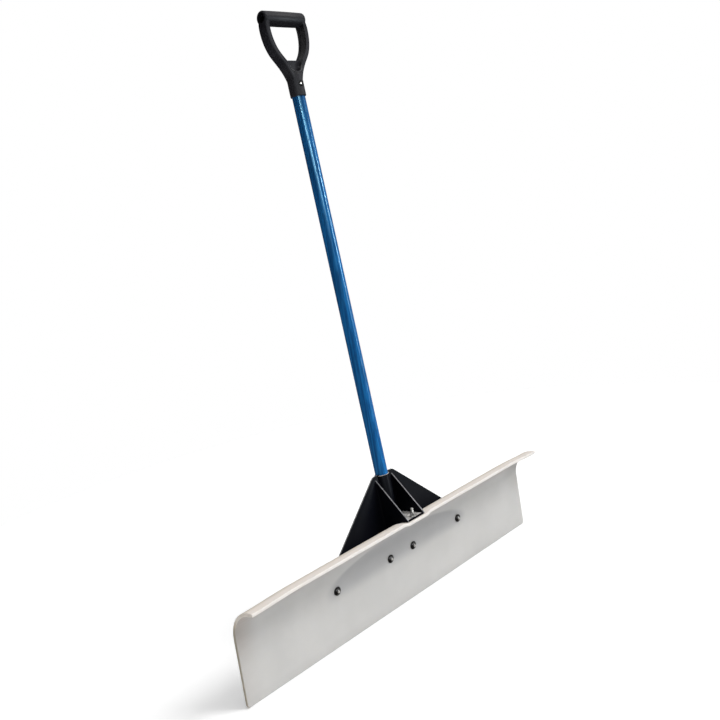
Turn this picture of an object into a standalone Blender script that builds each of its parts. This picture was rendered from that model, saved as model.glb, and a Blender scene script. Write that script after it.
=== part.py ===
"""Snow pusher: a wide curled plastic blade on a black steel bracket, with a
glass-fibre tube handle and a moulded D-grip.

Frame, in metres: X runs along the blade, +Y points back towards the user,
+Z up the blade. The origin is the middle of the blade's scraping edge.
The blade's flat part is vertical and the handle leans back a few degrees.
"""
import math

import bmesh
import bpy
from mathutils import Matrix, Vector

# ---------------------------------------------------------------- dimensions
GAP = 0.0003                     # clearance kept between touching pieces

# blade: a bent sheet
BLADE_LENGTH = 0.9144            # 36 in
BLADE_THICK = 0.0064
BLADE_FLAT = 0.1322              # height of the flat part
CURL_RADIUS = 0.0611             # inner (front) radius of the curl
CURL_ANGLE = math.radians(83.8)
LIP_STRAIGHT = 0.012
BLADE_CORNER = 0.006             # rounding of the two bottom corners
FRONT = -BLADE_THICK / 2
BACK = BLADE_THICK / 2

# face bolts: 1/4 in hex bolts through blade and back plate
BOLT_X = (-0.2012, -0.0378, 0.0378, 0.2012)
BOLT_Z = 0.1126
BOLT_R = 0.00318
BOLT_HOLE_R = 0.0036
HEX_AF = 0.0111                  # across flats, head and nut
HEAD_R = 0.0064                   # button head of the face bolts, 3.5 mm high
SOCKET_AF = 0.0040
NUT_H = 0.0056
WASHER_R = 0.0081
WASHER_HOLE_R = 0.0036
WASHER_T = 0.0016

# bracket: welded 3.2 mm plate
PLATE = 0.0032
PLATE_Y = BACK + GAP             # front face of the plate's lower, vertical part
PLATE_BOTTOM = 0.0965
PLATE_BEND = 0.130               # above this height the plate leans back
PLATE_HALF_WIDE = 0.2260
PLATE_SIDE_TOP = 0.1240
PLATE_HALF_NARROW = 0.0316
PLATE_TOP = 0.2920
RIB_OUTER_X = 0.0275
RIB_TOP_Z = 0.2835
RIB_NOSE_Y = -0.0642
RIB_KNEE = (-0.0617, 0.2070)     # end of the sloping front edge
FLOOR_SLOPE = math.radians(4.5)
FLOOR_REAR_Y = -0.0062
LIP_BOLT_Y = -0.0555

# handle
LEAN = math.radians(4.4)         # handle leans back from the blade's plane
AXIS_Y = -0.0024                 # handle axis at Z = 0
TUBE_R = 0.0143                  # 1 1/8 in
TUBE_WALL = 0.0030
TUBE_FROM, TUBE_TO = 0.1760, 1.1730
SOCKET_R = 0.0162
SOCKET_BORE = 0.0146
SOCKET_FROM, SOCKET_TO = 0.1720, 0.2905
SCREW_AT = 0.2350                # retaining screw, on the back

# D-grip, measured along the handle axis
GRIP_FROM = 1.1305
BARREL_R = 0.0173
BARREL_TO = 1.1785
GRIP_BORE_TO = 1.1745
BAR_AT = 1.2986
BAR_R = 0.0158
BAR_HALF = 0.0575
BAR_BORE_R = 0.0110
WEB_TOP = 1.2094
WEB_HALF_T = 0.0028
ARM_HALF_THICK = 0.0059          # in the D's plane
ARM_HALF_DEPTH = 0.0134          # front to back
ARM_PATH = ((0.0085, 1.1660), (0.0138, 1.1800), (0.0205, 1.1925),
            (0.0288, 1.2050), (0.0380, 1.2170), (0.0448, 1.2280),
            (0.0496, 1.2400), (0.0527, 1.2520), (0.0543, 1.2640),
            (0.0547, 1.2760), (0.0538, 1.2860), (0.0512, 1.2960))
RIVET_AT = 1.1552
RIVET_SEAT = 0.0155              # seat's distance from the axis
RIVET_RECESS_R = 0.0068

# --------------------------------------------------------------------- scene
for item in list(bpy.data.objects):
    bpy.data.objects.remove(item, do_unlink=True)

PARTS = bpy.data.collections.new("snow_pusher")
CUTTERS = bpy.data.collections.new("cutters")
bpy.context.scene.collection.children.link(PARTS)
bpy.context.scene.collection.children.link(CUTTERS)


def material(name, color, roughness, metallic=0.0):
    mat = bpy.data.materials.new(name)
    mat.use_nodes = True
    bsdf = mat.node_tree.nodes["Principled BSDF"]
    bsdf.inputs["Base Color"].default_value = (*color, 1.0)
    bsdf.inputs["Roughness"].default_value = roughness
    bsdf.inputs["Metallic"].default_value = metallic
    mat.diffuse_color = (*color, 1.0)
    return mat


POLY = material("white_polyethylene", (0.70, 0.69, 0.66), 0.45)
STEEL = material("black_coated_steel", (0.012, 0.012, 0.014), 0.38)
GLASS_FIBRE = material("blue_glass_fibre", (0.020, 0.115, 0.290), 0.30)
GRIP = material("black_moulded_plastic", (0.022, 0.022, 0.024), 0.55)
ZINC = material("zinc_plated_steel", (0.62, 0.62, 0.60), 0.32, 1.0)
BLACK_ZINC = material("black_fastener", (0.05, 0.05, 0.05), 0.40, 1.0)


def add(name, mesh, collection=PARTS, mat=None, matrix=None, parent=None):
    obj = bpy.data.objects.new(name, mesh)
    collection.objects.link(obj)
    if mat is not None:
        if not mesh.materials:
            mesh.materials.append(mat)
    if parent is not None:
        obj.parent = parent
    if matrix is not None:
        obj.matrix_local = matrix
    if collection is CUTTERS:
        obj.hide_render = True
        obj.display_type = 'WIRE'
    return obj


def evaluated_mesh(obj, name):
    """Mesh of an object with its modifiers or curve settings applied."""
    bpy.context.view_layer.update()
    graph = bpy.context.evaluated_depsgraph_get()
    mesh = bpy.data.meshes.new_from_object(obj.evaluated_get(graph))
    mesh.name = name
    bm = bmesh.new()
    bm.from_mesh(mesh)
    bmesh.ops.remove_doubles(bm, verts=bm.verts, dist=0.00002)
    bmesh.ops.recalc_face_normals(bm, faces=bm.faces)
    bm.to_mesh(mesh)
    bm.free()
    return mesh


def outline_mesh(name, loops, half):
    """Flat outline in local XY, extruded by half each way along local Z."""
    curve = bpy.data.curves.new(name, 'CURVE')
    curve.dimensions = '2D'
    curve.fill_mode = 'BOTH'
    curve.extrude = half
    for loop in loops:
        spline = curve.splines.new('POLY')
        spline.points.add(len(loop) - 1)
        for point, (x, y) in zip(spline.points, loop):
            point.co = (x, y, 0.0, 1.0)
        spline.use_cyclic_u = True
    obj = bpy.data.objects.new(name, curve)
    CUTTERS.objects.link(obj)
    mesh = evaluated_mesh(obj, name)
    bpy.data.objects.remove(obj, do_unlink=True)
    bpy.data.curves.remove(curve)
    return mesh


def circle(radius, steps, x=0.0, y=0.0, start=0.0):
    return [(x + radius * math.cos(start + 2 * math.pi * i / steps),
             y + radius * math.sin(start + 2 * math.pi * i / steps))
            for i in range(steps)]


def hexagon(across_flats):
    return circle(across_flats / math.sqrt(3.0), 6)


def cylinder_mesh(name, radius, length, steps=24, bottom=0.0):
    """Cylinder along local Z, from bottom to bottom + length."""
    bm = bmesh.new()
    bmesh.ops.create_cone(bm, cap_ends=True, segments=steps, radius1=radius,
                          radius2=radius, depth=length,
                          matrix=Matrix.Translation((0, 0, bottom + length / 2)))
    mesh = bpy.data.meshes.new(name)
    bm.to_mesh(mesh)
    bm.free()
    return mesh


def turned_mesh(name, profile, steps=28):
    """Solid of revolution about local Z from a profile at +X, top to bottom."""
    mesh = bpy.data.meshes.new(name)
    bm = bmesh.new()
    verts = [bm.verts.new((x, 0.0, z)) for x, z in profile]
    for a, b in zip(verts, verts[1:]):
        bm.edges.new((a, b))
    bm.to_mesh(mesh)
    bm.free()
    obj = bpy.data.objects.new(name, mesh)
    CUTTERS.objects.link(obj)
    screw = obj.modifiers.new("turn", 'SCREW')
    screw.steps = steps
    screw.render_steps = steps
    screw.use_merge_vertices = True
    screw.merge_threshold = 0.00001
    result = evaluated_mesh(obj, name)
    bpy.data.objects.remove(obj, do_unlink=True)
    bpy.data.meshes.remove(mesh)
    return result


def fillet(cx, cy, radius, start, end, steps):
    """Points on an arc about (cx, cy), angles in degrees."""
    return [(cx + radius * math.cos(math.radians(start + (end - start) * i / steps)),
             cy + radius * math.sin(math.radians(start + (end - start) * i / steps)))
            for i in range(steps + 1)]


def union_mesh(name, base, others):
    """One closed mesh from overlapping solids given as (mesh, matrix)."""
    host = bpy.data.objects.new(name, base[0])
    host.matrix_world = base[1]
    CUTTERS.objects.link(host)
    extra = []
    for mesh, matrix in others:
        obj = bpy.data.objects.new(name + "_piece", mesh)
        obj.matrix_world = matrix
        CUTTERS.objects.link(obj)
        mod = host.modifiers.new("join", 'BOOLEAN')
        mod.operation = 'UNION'
        mod.solver = 'EXACT'
        mod.object = obj
        extra.append(obj)
    result = evaluated_mesh(host, name)
    result.transform(base[1])
    for obj in [host] + extra:
        bpy.data.objects.remove(obj, do_unlink=True)
    return result


def cut(obj, mesh, matrix, parent=None):
    """Cut a solid from obj with a Boolean and keep its cutter."""
    cutter = add(obj.name + "_cutter", mesh, CUTTERS, matrix=matrix, parent=parent)
    mod = obj.modifiers.new("cut", 'BOOLEAN')
    mod.operation = 'DIFFERENCE'
    mod.solver = 'EXACT'
    mod.object = cutter
    return cutter


def apply_cuts(obj):
    """Replace an object's mesh by its cut shape, lowest faces first."""
    mesh = evaluated_mesh(obj, obj.name)
    bm = bmesh.new()
    bm.from_mesh(mesh)
    bmesh.ops.triangulate(bm, faces=bm.faces)
    bm.faces.sort(key=lambda f: f.calc_center_median() @ Vector((0.001, 1.0, 0.0003)))
    bm.to_mesh(mesh)
    bm.free()
    obj.modifiers.clear()
    obj.data = mesh


def smooth(mesh, angle=35.0):
    mesh.shade_smooth()
    mesh.set_sharp_from_angle(angle=math.radians(angle))


# local axes: (outline x, outline y, thickness) onto the part's frame
ALONG_X = Matrix(((0, 0, 1, 0), (1, 0, 0, 0), (0, 1, 0, 0), (0, 0, 0, 1)))
ALONG_Y = Matrix(((1, 0, 0, 0), (0, 0, -1, 0), (0, 1, 0, 0), (0, 0, 0, 1)))
I4 = Matrix.Identity(4)


def at(x, y, z, rot=I4):
    return Matrix.Translation((x, y, z)) @ rot


# --------------------------------------------------------------------- blade
def curl_point(radius, angle):
    """Point (Y, Z) at an angle round the curl, at a radius from its centre."""
    return (FRONT - CURL_RADIUS + radius * math.cos(angle),
            BLADE_FLAT + radius * math.sin(angle))


LIP_DIR = (-math.sin(CURL_ANGLE), math.cos(CURL_ANGLE))
OUTER = CURL_RADIUS + BLADE_THICK


def sheet_profile(steps=14):
    angles = [CURL_ANGLE * i / steps for i in range(1, steps + 1)]
    front = [(FRONT, 0.0), (FRONT, BLADE_FLAT)]
    front += [curl_point(CURL_RADIUS, a) for a in angles]
    tip = front[-1]
    front.append((tip[0] + LIP_STRAIGHT * LIP_DIR[0], tip[1] + LIP_STRAIGHT * LIP_DIR[1]))
    back = [(BACK, 0.0), (BACK, BLADE_FLAT)]
    back += [curl_point(OUTER, a) for a in angles]
    tip = back[-1]
    back.append((tip[0] + LIP_STRAIGHT * LIP_DIR[0], tip[1] + LIP_STRAIGHT * LIP_DIR[1]))
    return front + back[::-1]


blade_mesh = outline_mesh("blade", [sheet_profile()], BLADE_LENGTH / 2)
bm = bmesh.new()
bm.from_mesh(blade_mesh)
# cuts across the sheet keep its facets short, clear of the bolt holes
SPLITS = (0.0190, 0.0850, 0.1500, 0.2450, 0.3200, 0.3900)
for x in [-s for s in SPLITS] + list(SPLITS):
    bmesh.ops.bisect_plane(bm, geom=bm.verts[:] + bm.edges[:] + bm.faces[:],
                           plane_co=(0, 0, x), plane_no=(0, 0, 1))
bmesh.ops.bisect_plane(bm, geom=bm.verts[:] + bm.edges[:] + bm.faces[:],
                       plane_co=(0, 0.030, 0), plane_no=(0, 1, 0))
bm.to_mesh(blade_mesh)
bm.free()
smooth(blade_mesh, 20)
blade = add("blade", blade_mesh, mat=POLY, matrix=ALONG_X)
for x in BOLT_X:
    cut(blade, cylinder_mesh("hole", BOLT_HOLE_R, 0.030, 20, -0.015),
        at(x, 0.0, BOLT_Z, ALONG_Y))


def corner_outline(side):
    """What lies outside the rounding of a lower corner of the sheet."""
    centre, r = BLADE_LENGTH / 2 - BLADE_CORNER, BLADE_CORNER
    turns = [math.radians(90.0 * i / 5) for i in range(6)]
    points = [(centre + r * math.sin(a), r - r * math.cos(a)) for a in turns]
    points += [(centre + r + 0.004, r), (centre + r + 0.004, -0.004), (centre, -0.004)]
    return [(side * x, z) for x, z in points]


for side in (-1, 1):
    cut(blade, outline_mesh("corner", [corner_outline(side)], 0.010), ALONG_Y)

# ------------------------------------------------------------------- bracket
def plate_front(z):
    """Y of the back plate's front face at a height."""
    return PLATE_Y + max(0.0, z - PLATE_BEND) * math.tan(LEAN)


def plate_outline():
    r = 0.014
    slope = math.atan2(PLATE_TOP - PLATE_SIDE_TOP, PLATE_HALF_WIDE - PLATE_HALF_NARROW)
    right = [(PLATE_HALF_WIDE - r, PLATE_BOTTOM)]
    right += fillet(PLATE_HALF_WIDE - r, PLATE_BOTTOM + r, r, -90, 0, 6)[1:]
    right += [(PLATE_HALF_WIDE, PLATE_SIDE_TOP - 0.004),
              (PLATE_HALF_WIDE - 0.0018, PLATE_SIDE_TOP + 0.0016)]
    right += [(PLATE_HALF_NARROW + 0.0060 * math.cos(slope),
               PLATE_TOP - 0.0060 * math.sin(slope)),
              (PLATE_HALF_NARROW - 0.0004, PLATE_TOP - 0.0010),
              (PLATE_HALF_NARROW - 0.0040, PLATE_TOP)]
    slot = SOCKET_R + 0.0006
    bottom = SOCKET_FROM * math.cos(LEAN) - 0.003
    right += [(slot, PLATE_TOP), (slot, bottom)]
    left = [(-x, z) for x, z in reversed(right)]
    return right + left


plate_mesh = outline_mesh("bracket_back_plate",
                          [plate_outline()] + [circle(BOLT_HOLE_R, 20, x, BOLT_Z) for x in BOLT_X],
                          PLATE / 2)
bm = bmesh.new()
bm.from_mesh(plate_mesh)
bmesh.ops.bisect_plane(bm, geom=bm.verts[:] + bm.edges[:] + bm.faces[:],
                       plane_co=(0, PLATE_BEND, 0), plane_no=(0, 1, 0))
for v in bm.verts:               # bend: local z is minus the part's Y
    if v.co.y > PLATE_BEND:
        v.co.z -= (v.co.y - PLATE_BEND) * math.tan(LEAN)
bm.to_mesh(plate_mesh)
bm.free()
add("bracket_back_plate", plate_mesh, mat=STEEL, matrix=at(0, PLATE_Y + PLATE / 2, 0, ALONG_Y))


def lip_top(y):
    """Z of the lip's upper face at a Y on its straight part."""
    tip = curl_point(OUTER, CURL_ANGLE)
    return tip[1] + (tip[0] - y) / math.tan(CURL_ANGLE)


FLOOR_Z = lip_top(RIB_NOSE_Y) + 0.0005      # underside of the floor plate at its nose


def rib_outline():
    clear = OUTER + 0.0006
    points = [(plate_front(RIB_TOP_Z) - GAP, RIB_TOP_Z), RIB_KNEE,
              (RIB_NOSE_Y + 0.0004, RIB_KNEE[1] - 0.0030),
              (RIB_NOSE_Y, lip_top(RIB_NOSE_Y) + 0.0035),
              (RIB_NOSE_Y, lip_top(RIB_NOSE_Y) + 0.0006)]
    steps = 10
    for i in range(steps + 1):
        angle = CURL_ANGLE + (math.radians(22) - CURL_ANGLE) * i / steps
        points.append(curl_point(clear, angle))
    last = points[-1][1]
    points.append((plate_front(last) - GAP, last))
    return points


rib_mesh = outline_mesh("bracket_rib", [rib_outline()], PLATE / 2)
for name, side in (("bracket_rib_left", -1), ("bracket_rib_right", 1)):
    add(name, rib_mesh, mat=STEEL, matrix=at(side * (RIB_OUTER_X - PLATE / 2), 0, 0, ALONG_X))

floor_half = RIB_OUTER_X - PLATE - GAP
floor_length = (FLOOR_REAR_Y - RIB_NOSE_Y) / math.cos(FLOOR_SLOPE)
bolt_along = (LIP_BOLT_Y - RIB_NOSE_Y) / math.cos(FLOOR_SLOPE)
floor_mesh = outline_mesh("bracket_floor_plate",
                          [[(-floor_half, 0), (floor_half, 0), (floor_half, floor_length),
                            (-floor_half, floor_length)],
                           circle(BOLT_HOLE_R, 20, 0.0, bolt_along)], PLATE / 2)
FLOOR_TILT = Matrix.Rotation(-FLOOR_SLOPE, 4, 'X')
floor_frame = at(0, RIB_NOSE_Y, FLOOR_Z, FLOOR_TILT)
add("bracket_floor_plate", floor_mesh, mat=STEEL,
    matrix=floor_frame @ Matrix.Translation((0, 0, PLATE / 2)))

# ------------------------------------------------------------- handle's frame
handle_axis = bpy.data.objects.new("handle_axis", None)
handle_axis.empty_display_size = 0.05
handle_axis.location = (0, AXIS_Y, 0)
handle_axis.rotation_euler = (-LEAN, 0, 0)
PARTS.objects.link(handle_axis)

socket_mesh = outline_mesh("bracket_socket_tube",
                           [circle(SOCKET_R, 36), circle(SOCKET_BORE, 36)],
                           (SOCKET_TO - SOCKET_FROM) / 2)
smooth(socket_mesh)
socket = add("bracket_socket_tube", socket_mesh, mat=STEEL,
             matrix=at(0, 0, (SOCKET_FROM + SOCKET_TO) / 2), parent=handle_axis)
tube_mesh = outline_mesh("handle_tube", [circle(TUBE_R, 36), circle(TUBE_R - TUBE_WALL, 36)],
                         (TUBE_TO - TUBE_FROM) / 2)
smooth(tube_mesh)
tube = add("handle_tube", tube_mesh, mat=GLASS_FIBRE,
           matrix=at(0, 0, (TUBE_FROM + TUBE_TO) / 2), parent=handle_axis)

# retaining screw at the back, through socket and tube wall
POINT_BACK = Matrix.Rotation(math.radians(-90), 4, 'X')     # local Z onto +Y
screw_head = SOCKET_R + 0.0006
screw_mesh = turned_mesh("handle_screw", [
    (0.0, screw_head + 0.0042), (0.0036, screw_head + 0.0042), (0.0043, screw_head + 0.0034),
    (0.0043, screw_head + 0.0012), (0.0062, screw_head + 0.0008), (0.0062, screw_head),
    (0.0023, screw_head), (0.0023, 0.0085), (0.0, 0.0070)], 20)
smooth(screw_mesh)
add("handle_screw", screw_mesh, mat=BLACK_ZINC, matrix=at(0, 0, SCREW_AT, POINT_BACK),
    parent=handle_axis)
for target in (socket, tube):
    cut(target, cylinder_mesh("hole", 0.0027, 0.030, 14, 0.004),
        at(0, 0, SCREW_AT, POINT_BACK), handle_axis)

# -------------------------------------------------------------------- D-grip
barrel = turned_mesh("barrel", [
    (0.0, BARREL_TO), (BARREL_R - 0.0016, BARREL_TO), (BARREL_R - 0.0004, BARREL_TO - 0.0005),
    (BARREL_R, BARREL_TO - 0.0016), (BARREL_R, GRIP_FROM + 0.0012),
    (BARREL_R - 0.0004, GRIP_FROM + 0.0004), (BARREL_R - 0.0012, GRIP_FROM), (0.0, GRIP_FROM)], 36)
END_FILLET = 0.0048


def bar_profile():
    """Bar with a slight crown and rounded ends, turned about its own axis."""
    points = [(0.0, BAR_HALF)]
    arc = fillet(BAR_R - END_FILLET, BAR_HALF - END_FILLET, END_FILLET, 90, 0, 4)
    points += arc
    for i in range(1, 6):
        t = 1 - i / 3.0
        points.append((BAR_R + 0.0004 * (1 - t * t), t * (BAR_HALF - END_FILLET)))
    points += [(x, -z) for x, z in reversed(arc)]
    points.append((0.0, -BAR_HALF))
    return points


bar = turned_mesh("bar", bar_profile(), 36)


def arm_mesh(side):
    """One arm: an oval section swept along its centre line."""
    oval = bpy.data.curves.new("oval", 'CURVE')
    oval.dimensions = '2D'
    spline = oval.splines.new('POLY')
    steps = 18
    spline.points.add(steps - 1)
    for i, point in enumerate(spline.points):
        a = 2 * math.pi * i / steps
        c, s = math.cos(a), math.sin(a)
        point.co = (ARM_HALF_DEPTH * math.copysign(abs(c) ** 0.8, c),
                    ARM_HALF_THICK * math.copysign(abs(s) ** 0.8, s), 0.0, 1.0)
    spline.use_cyclic_u = True
    oval_obj = bpy.data.objects.new("oval", oval)
    CUTTERS.objects.link(oval_obj)
    path = bpy.data.curves.new("arm", 'CURVE')
    path.dimensions = '3D'
    path.bevel_mode = 'OBJECT'
    path.bevel_object = oval_obj
    path.use_fill_caps = True
    path.twist_mode = 'MINIMUM'
    spline = path.splines.new('POLY')
    spline.points.add(len(ARM_PATH) - 1)
    for point, (x, z) in zip(spline.points, ARM_PATH):
        point.co = (side * x, 0.0, z, 1.0)
    arm_obj = bpy.data.objects.new("arm", path)
    CUTTERS.objects.link(arm_obj)
    mesh = evaluated_mesh(arm_obj, "arm")
    for obj in (arm_obj, oval_obj):
        bpy.data.objects.remove(obj, do_unlink=True)
    return mesh


def web_outline():
    right = [(0.0100, 1.1700), (0.0150, 1.1860), (0.0230, 1.1990), (0.0295, WEB_TOP - 0.0015),
             (0.0290, WEB_TOP + 0.0015), (0.0235, WEB_TOP + 0.0004), (0.0180, WEB_TOP)]
    return right + [(-x, z) for x, z in reversed(right)]


web = outline_mesh("web", [web_outline()], WEB_HALF_T)
BAR_MATRIX = at(0, 0, BAR_AT, Matrix.Rotation(math.radians(90), 4, 'Y'))
grip_mesh = union_mesh("d_grip", (barrel, I4),
                       [(arm_mesh(-1), I4), (arm_mesh(1), I4), (bar, BAR_MATRIX), (web, ALONG_Y)])
smooth(grip_mesh, 32)
grip = add("d_grip", grip_mesh, mat=GRIP, parent=handle_axis)
cut(grip, cylinder_mesh("bore", TUBE_R + GAP, 0.080, 36, GRIP_BORE_TO - 0.080), I4, handle_axis)
cut(grip, cylinder_mesh("bar_bore", BAR_BORE_R, 0.140, 28, -0.070), BAR_MATRIX, handle_axis)
POINT_FRONT = Matrix.Rotation(math.radians(90), 4, 'X')     # local Z onto -Y
cut(grip, cylinder_mesh("recess", RIVET_RECESS_R, 0.010, 24, RIVET_SEAT),
    at(0, 0, RIVET_AT, POINT_FRONT), handle_axis)
cut(grip, cylinder_mesh("rivet_hole", 0.0029, 0.020, 14, 0.005),
    at(0, 0, RIVET_AT, POINT_FRONT), handle_axis)
cut(tube, cylinder_mesh("rivet_hole_tube", 0.0029, 0.012, 14, 0.006),
    at(0, 0, RIVET_AT, POINT_FRONT), handle_axis)

seat = RIVET_SEAT + GAP
rivet_mesh = turned_mesh("grip_rivet", [
    (0.0, seat + 0.0024), (0.0020, seat + 0.0022), (0.0036, seat + 0.0015), (0.0046, seat + 0.0006),
    (0.0046, seat), (0.0024, seat), (0.0024, 0.0085), (0.0034, 0.0080), (0.0034, 0.0062),
    (0.0, 0.0056)][:6] + [(0.0024, 0.0070), (0.0, 0.0062)], 20)
smooth(rivet_mesh)
add("grip_rivet", rivet_mesh, mat=ZINC, matrix=at(0, 0, RIVET_AT, POINT_FRONT), parent=handle_axis)

# ----------------------------------------------------------------- fasteners
def socket_bolt(name, length):
    """Button-head bolt: head above local Z = 0, shank below."""
    head = fillet(0.0, -0.0042, 0.0077, 90, 34, 5)
    mesh = turned_mesh(name, [(max(x, 0.0) if i else 0.0, z) for i, (x, z) in enumerate(head)]
                       + [(HEAD_R, 0.0), (BOLT_R, 0.0), (BOLT_R, 0.0008 - length),
                          (BOLT_R - 0.0008, -length), (0.0, -length)], 24)
    smooth(mesh)
    return mesh


washer_mesh = outline_mesh("washer", [circle(WASHER_R, 24), circle(WASHER_HOLE_R, 16)],
                           WASHER_T / 2)
lip_washer_mesh = outline_mesh("lip_washer", [circle(WASHER_R, 24), circle(WASHER_HOLE_R, 16)],
                               WASHER_T / 2)
nut_mesh = outline_mesh("nut", [hexagon(HEX_AF), circle(BOLT_R + GAP, 16)], NUT_H / 2)
face_bolt_mesh = socket_bolt("face_bolt", 0.0240)
socket_mesh = outline_mesh("hex_socket", [hexagon(SOCKET_AF)], 0.0020)
front_washer_y = FRONT - GAP - WASHER_T / 2
head_y = FRONT - 2 * GAP - WASHER_T
back_washer_y = PLATE_Y + PLATE + GAP + WASHER_T / 2
nut_y = PLATE_Y + PLATE + 2 * GAP + WASHER_T + NUT_H / 2
for number, x in enumerate(BOLT_X, 1):
    bolt = add("face_bolt_%d" % number, face_bolt_mesh, mat=ZINC,
               matrix=at(x, head_y, BOLT_Z, ALONG_Y))
    cut(bolt, socket_mesh, at(x, head_y - 0.0036, BOLT_Z, ALONG_Y))
    add("face_washer_front_%d" % number, washer_mesh, mat=BLACK_ZINC,
        matrix=at(x, front_washer_y, BOLT_Z, ALONG_Y))
    add("face_washer_back_%d" % number, washer_mesh, mat=BLACK_ZINC,
        matrix=at(x, back_washer_y, BOLT_Z, ALONG_Y))
    add("face_nut_%d" % number, nut_mesh, mat=ZINC, matrix=at(x, nut_y, BOLT_Z, ALONG_Y))

# lip bolt: low round head under the lip, washer and nut on the floor plate
lip_frame = floor_frame @ Matrix.Translation((0, bolt_along, 0))
LIP_UNDER = 0.0080                # lip's lower face, below the floor plate's underside
LIP_BOLT_TOP = 0.0215             # thread end, above the floor plate's underside
cut(blade, cylinder_mesh("lip_hole", 0.0042, 0.040, 18, -0.030), lip_frame)
apply_cuts(blade)
lip_bolt_mesh = turned_mesh("lip_bolt", [
    (0.0, LIP_BOLT_TOP), (BOLT_R - 0.0008, LIP_BOLT_TOP), (BOLT_R, LIP_BOLT_TOP - 0.0010),
    (BOLT_R, -LIP_UNDER - GAP), (0.0072, -LIP_UNDER - GAP), (0.0070, -LIP_UNDER - 0.0012),
    (0.0056, -LIP_UNDER - 0.0026), (0.0032, -LIP_UNDER - 0.0034), (0.0, -LIP_UNDER - 0.0037)], 20)
smooth(lip_bolt_mesh)
add("lip_bolt", lip_bolt_mesh, mat=ZINC, matrix=lip_frame)
add("lip_washer", lip_washer_mesh, mat=ZINC,
    matrix=lip_frame @ at(0, 0, PLATE + GAP + WASHER_T / 2))
add("lip_nut", nut_mesh, mat=ZINC,
    matrix=lip_frame @ at(0, 0, PLATE + 2 * GAP + WASHER_T + NUT_H / 2))
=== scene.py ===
"""Looks for the snow pusher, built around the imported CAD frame.

Every mesh made here is in the row frame, in metres: X along the blade, +Y back
to the user, +Z up the blade, origin at the middle of the scraping edge.
"""

import math

import bmesh
import bpy
from mathutils import Matrix, Vector, noise


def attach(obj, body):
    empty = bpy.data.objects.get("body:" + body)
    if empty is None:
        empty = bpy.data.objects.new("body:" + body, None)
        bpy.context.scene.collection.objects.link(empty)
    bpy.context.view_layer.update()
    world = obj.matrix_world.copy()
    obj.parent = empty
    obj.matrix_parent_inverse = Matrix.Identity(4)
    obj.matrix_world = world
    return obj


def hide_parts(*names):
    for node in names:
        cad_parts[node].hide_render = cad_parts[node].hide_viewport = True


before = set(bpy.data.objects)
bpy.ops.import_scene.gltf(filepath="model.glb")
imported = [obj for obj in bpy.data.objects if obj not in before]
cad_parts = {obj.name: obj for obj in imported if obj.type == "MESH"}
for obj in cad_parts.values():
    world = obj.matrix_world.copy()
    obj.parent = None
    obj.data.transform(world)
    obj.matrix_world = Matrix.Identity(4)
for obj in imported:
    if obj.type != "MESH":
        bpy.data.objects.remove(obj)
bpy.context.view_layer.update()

# ------------------------------------------------------------------ constants
LENGTH, THICK, FLAT = 0.9144, 0.0064, 0.1322
CURL_R, CURL_A, LIP = 0.0611, math.radians(83.8), 0.012
MID_R = CURL_R + THICK / 2
SPAN = FLAT + MID_R * CURL_A + LIP            # sheet's length round the section
LEAN, AXIS_Y = math.radians(4.4), -0.0024
BOLT_X, BOLT_Z, BOLT_R = (-0.2012, -0.0378, 0.0378, 0.2012), 0.1126, 0.00318
PLATE, PLATE_Y, GAP = 0.0032, 0.0035, 0.0003
PLATE_BEND = 0.130
RIVET_AT, RIVET_SEAT, RIVET_RECESS_R = 1.1552, 0.0155, 0.0068
HANDLE = Matrix.Translation((0, AXIS_Y, 0)) @ Matrix.Rotation(-LEAN, 4, 'X')
POINT_BACK = Matrix.Rotation(math.radians(-90), 4, 'X')
POINT_FRONT = Matrix.Rotation(math.radians(90), 4, 'X')
ALONG_Y = Matrix(((1, 0, 0, 0), (0, 0, -1, 0), (0, 1, 0, 0), (0, 0, 0, 1)))
ALONG_X = Matrix(((0, 0, 1, 0), (1, 0, 0, 0), (0, 1, 0, 0), (0, 0, 0, 1)))
I4 = Matrix.Identity(4)
SCENE = bpy.context.scene


def at(x, y, z, rot=I4):
    return Matrix.Translation((x, y, z)) @ rot


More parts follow.
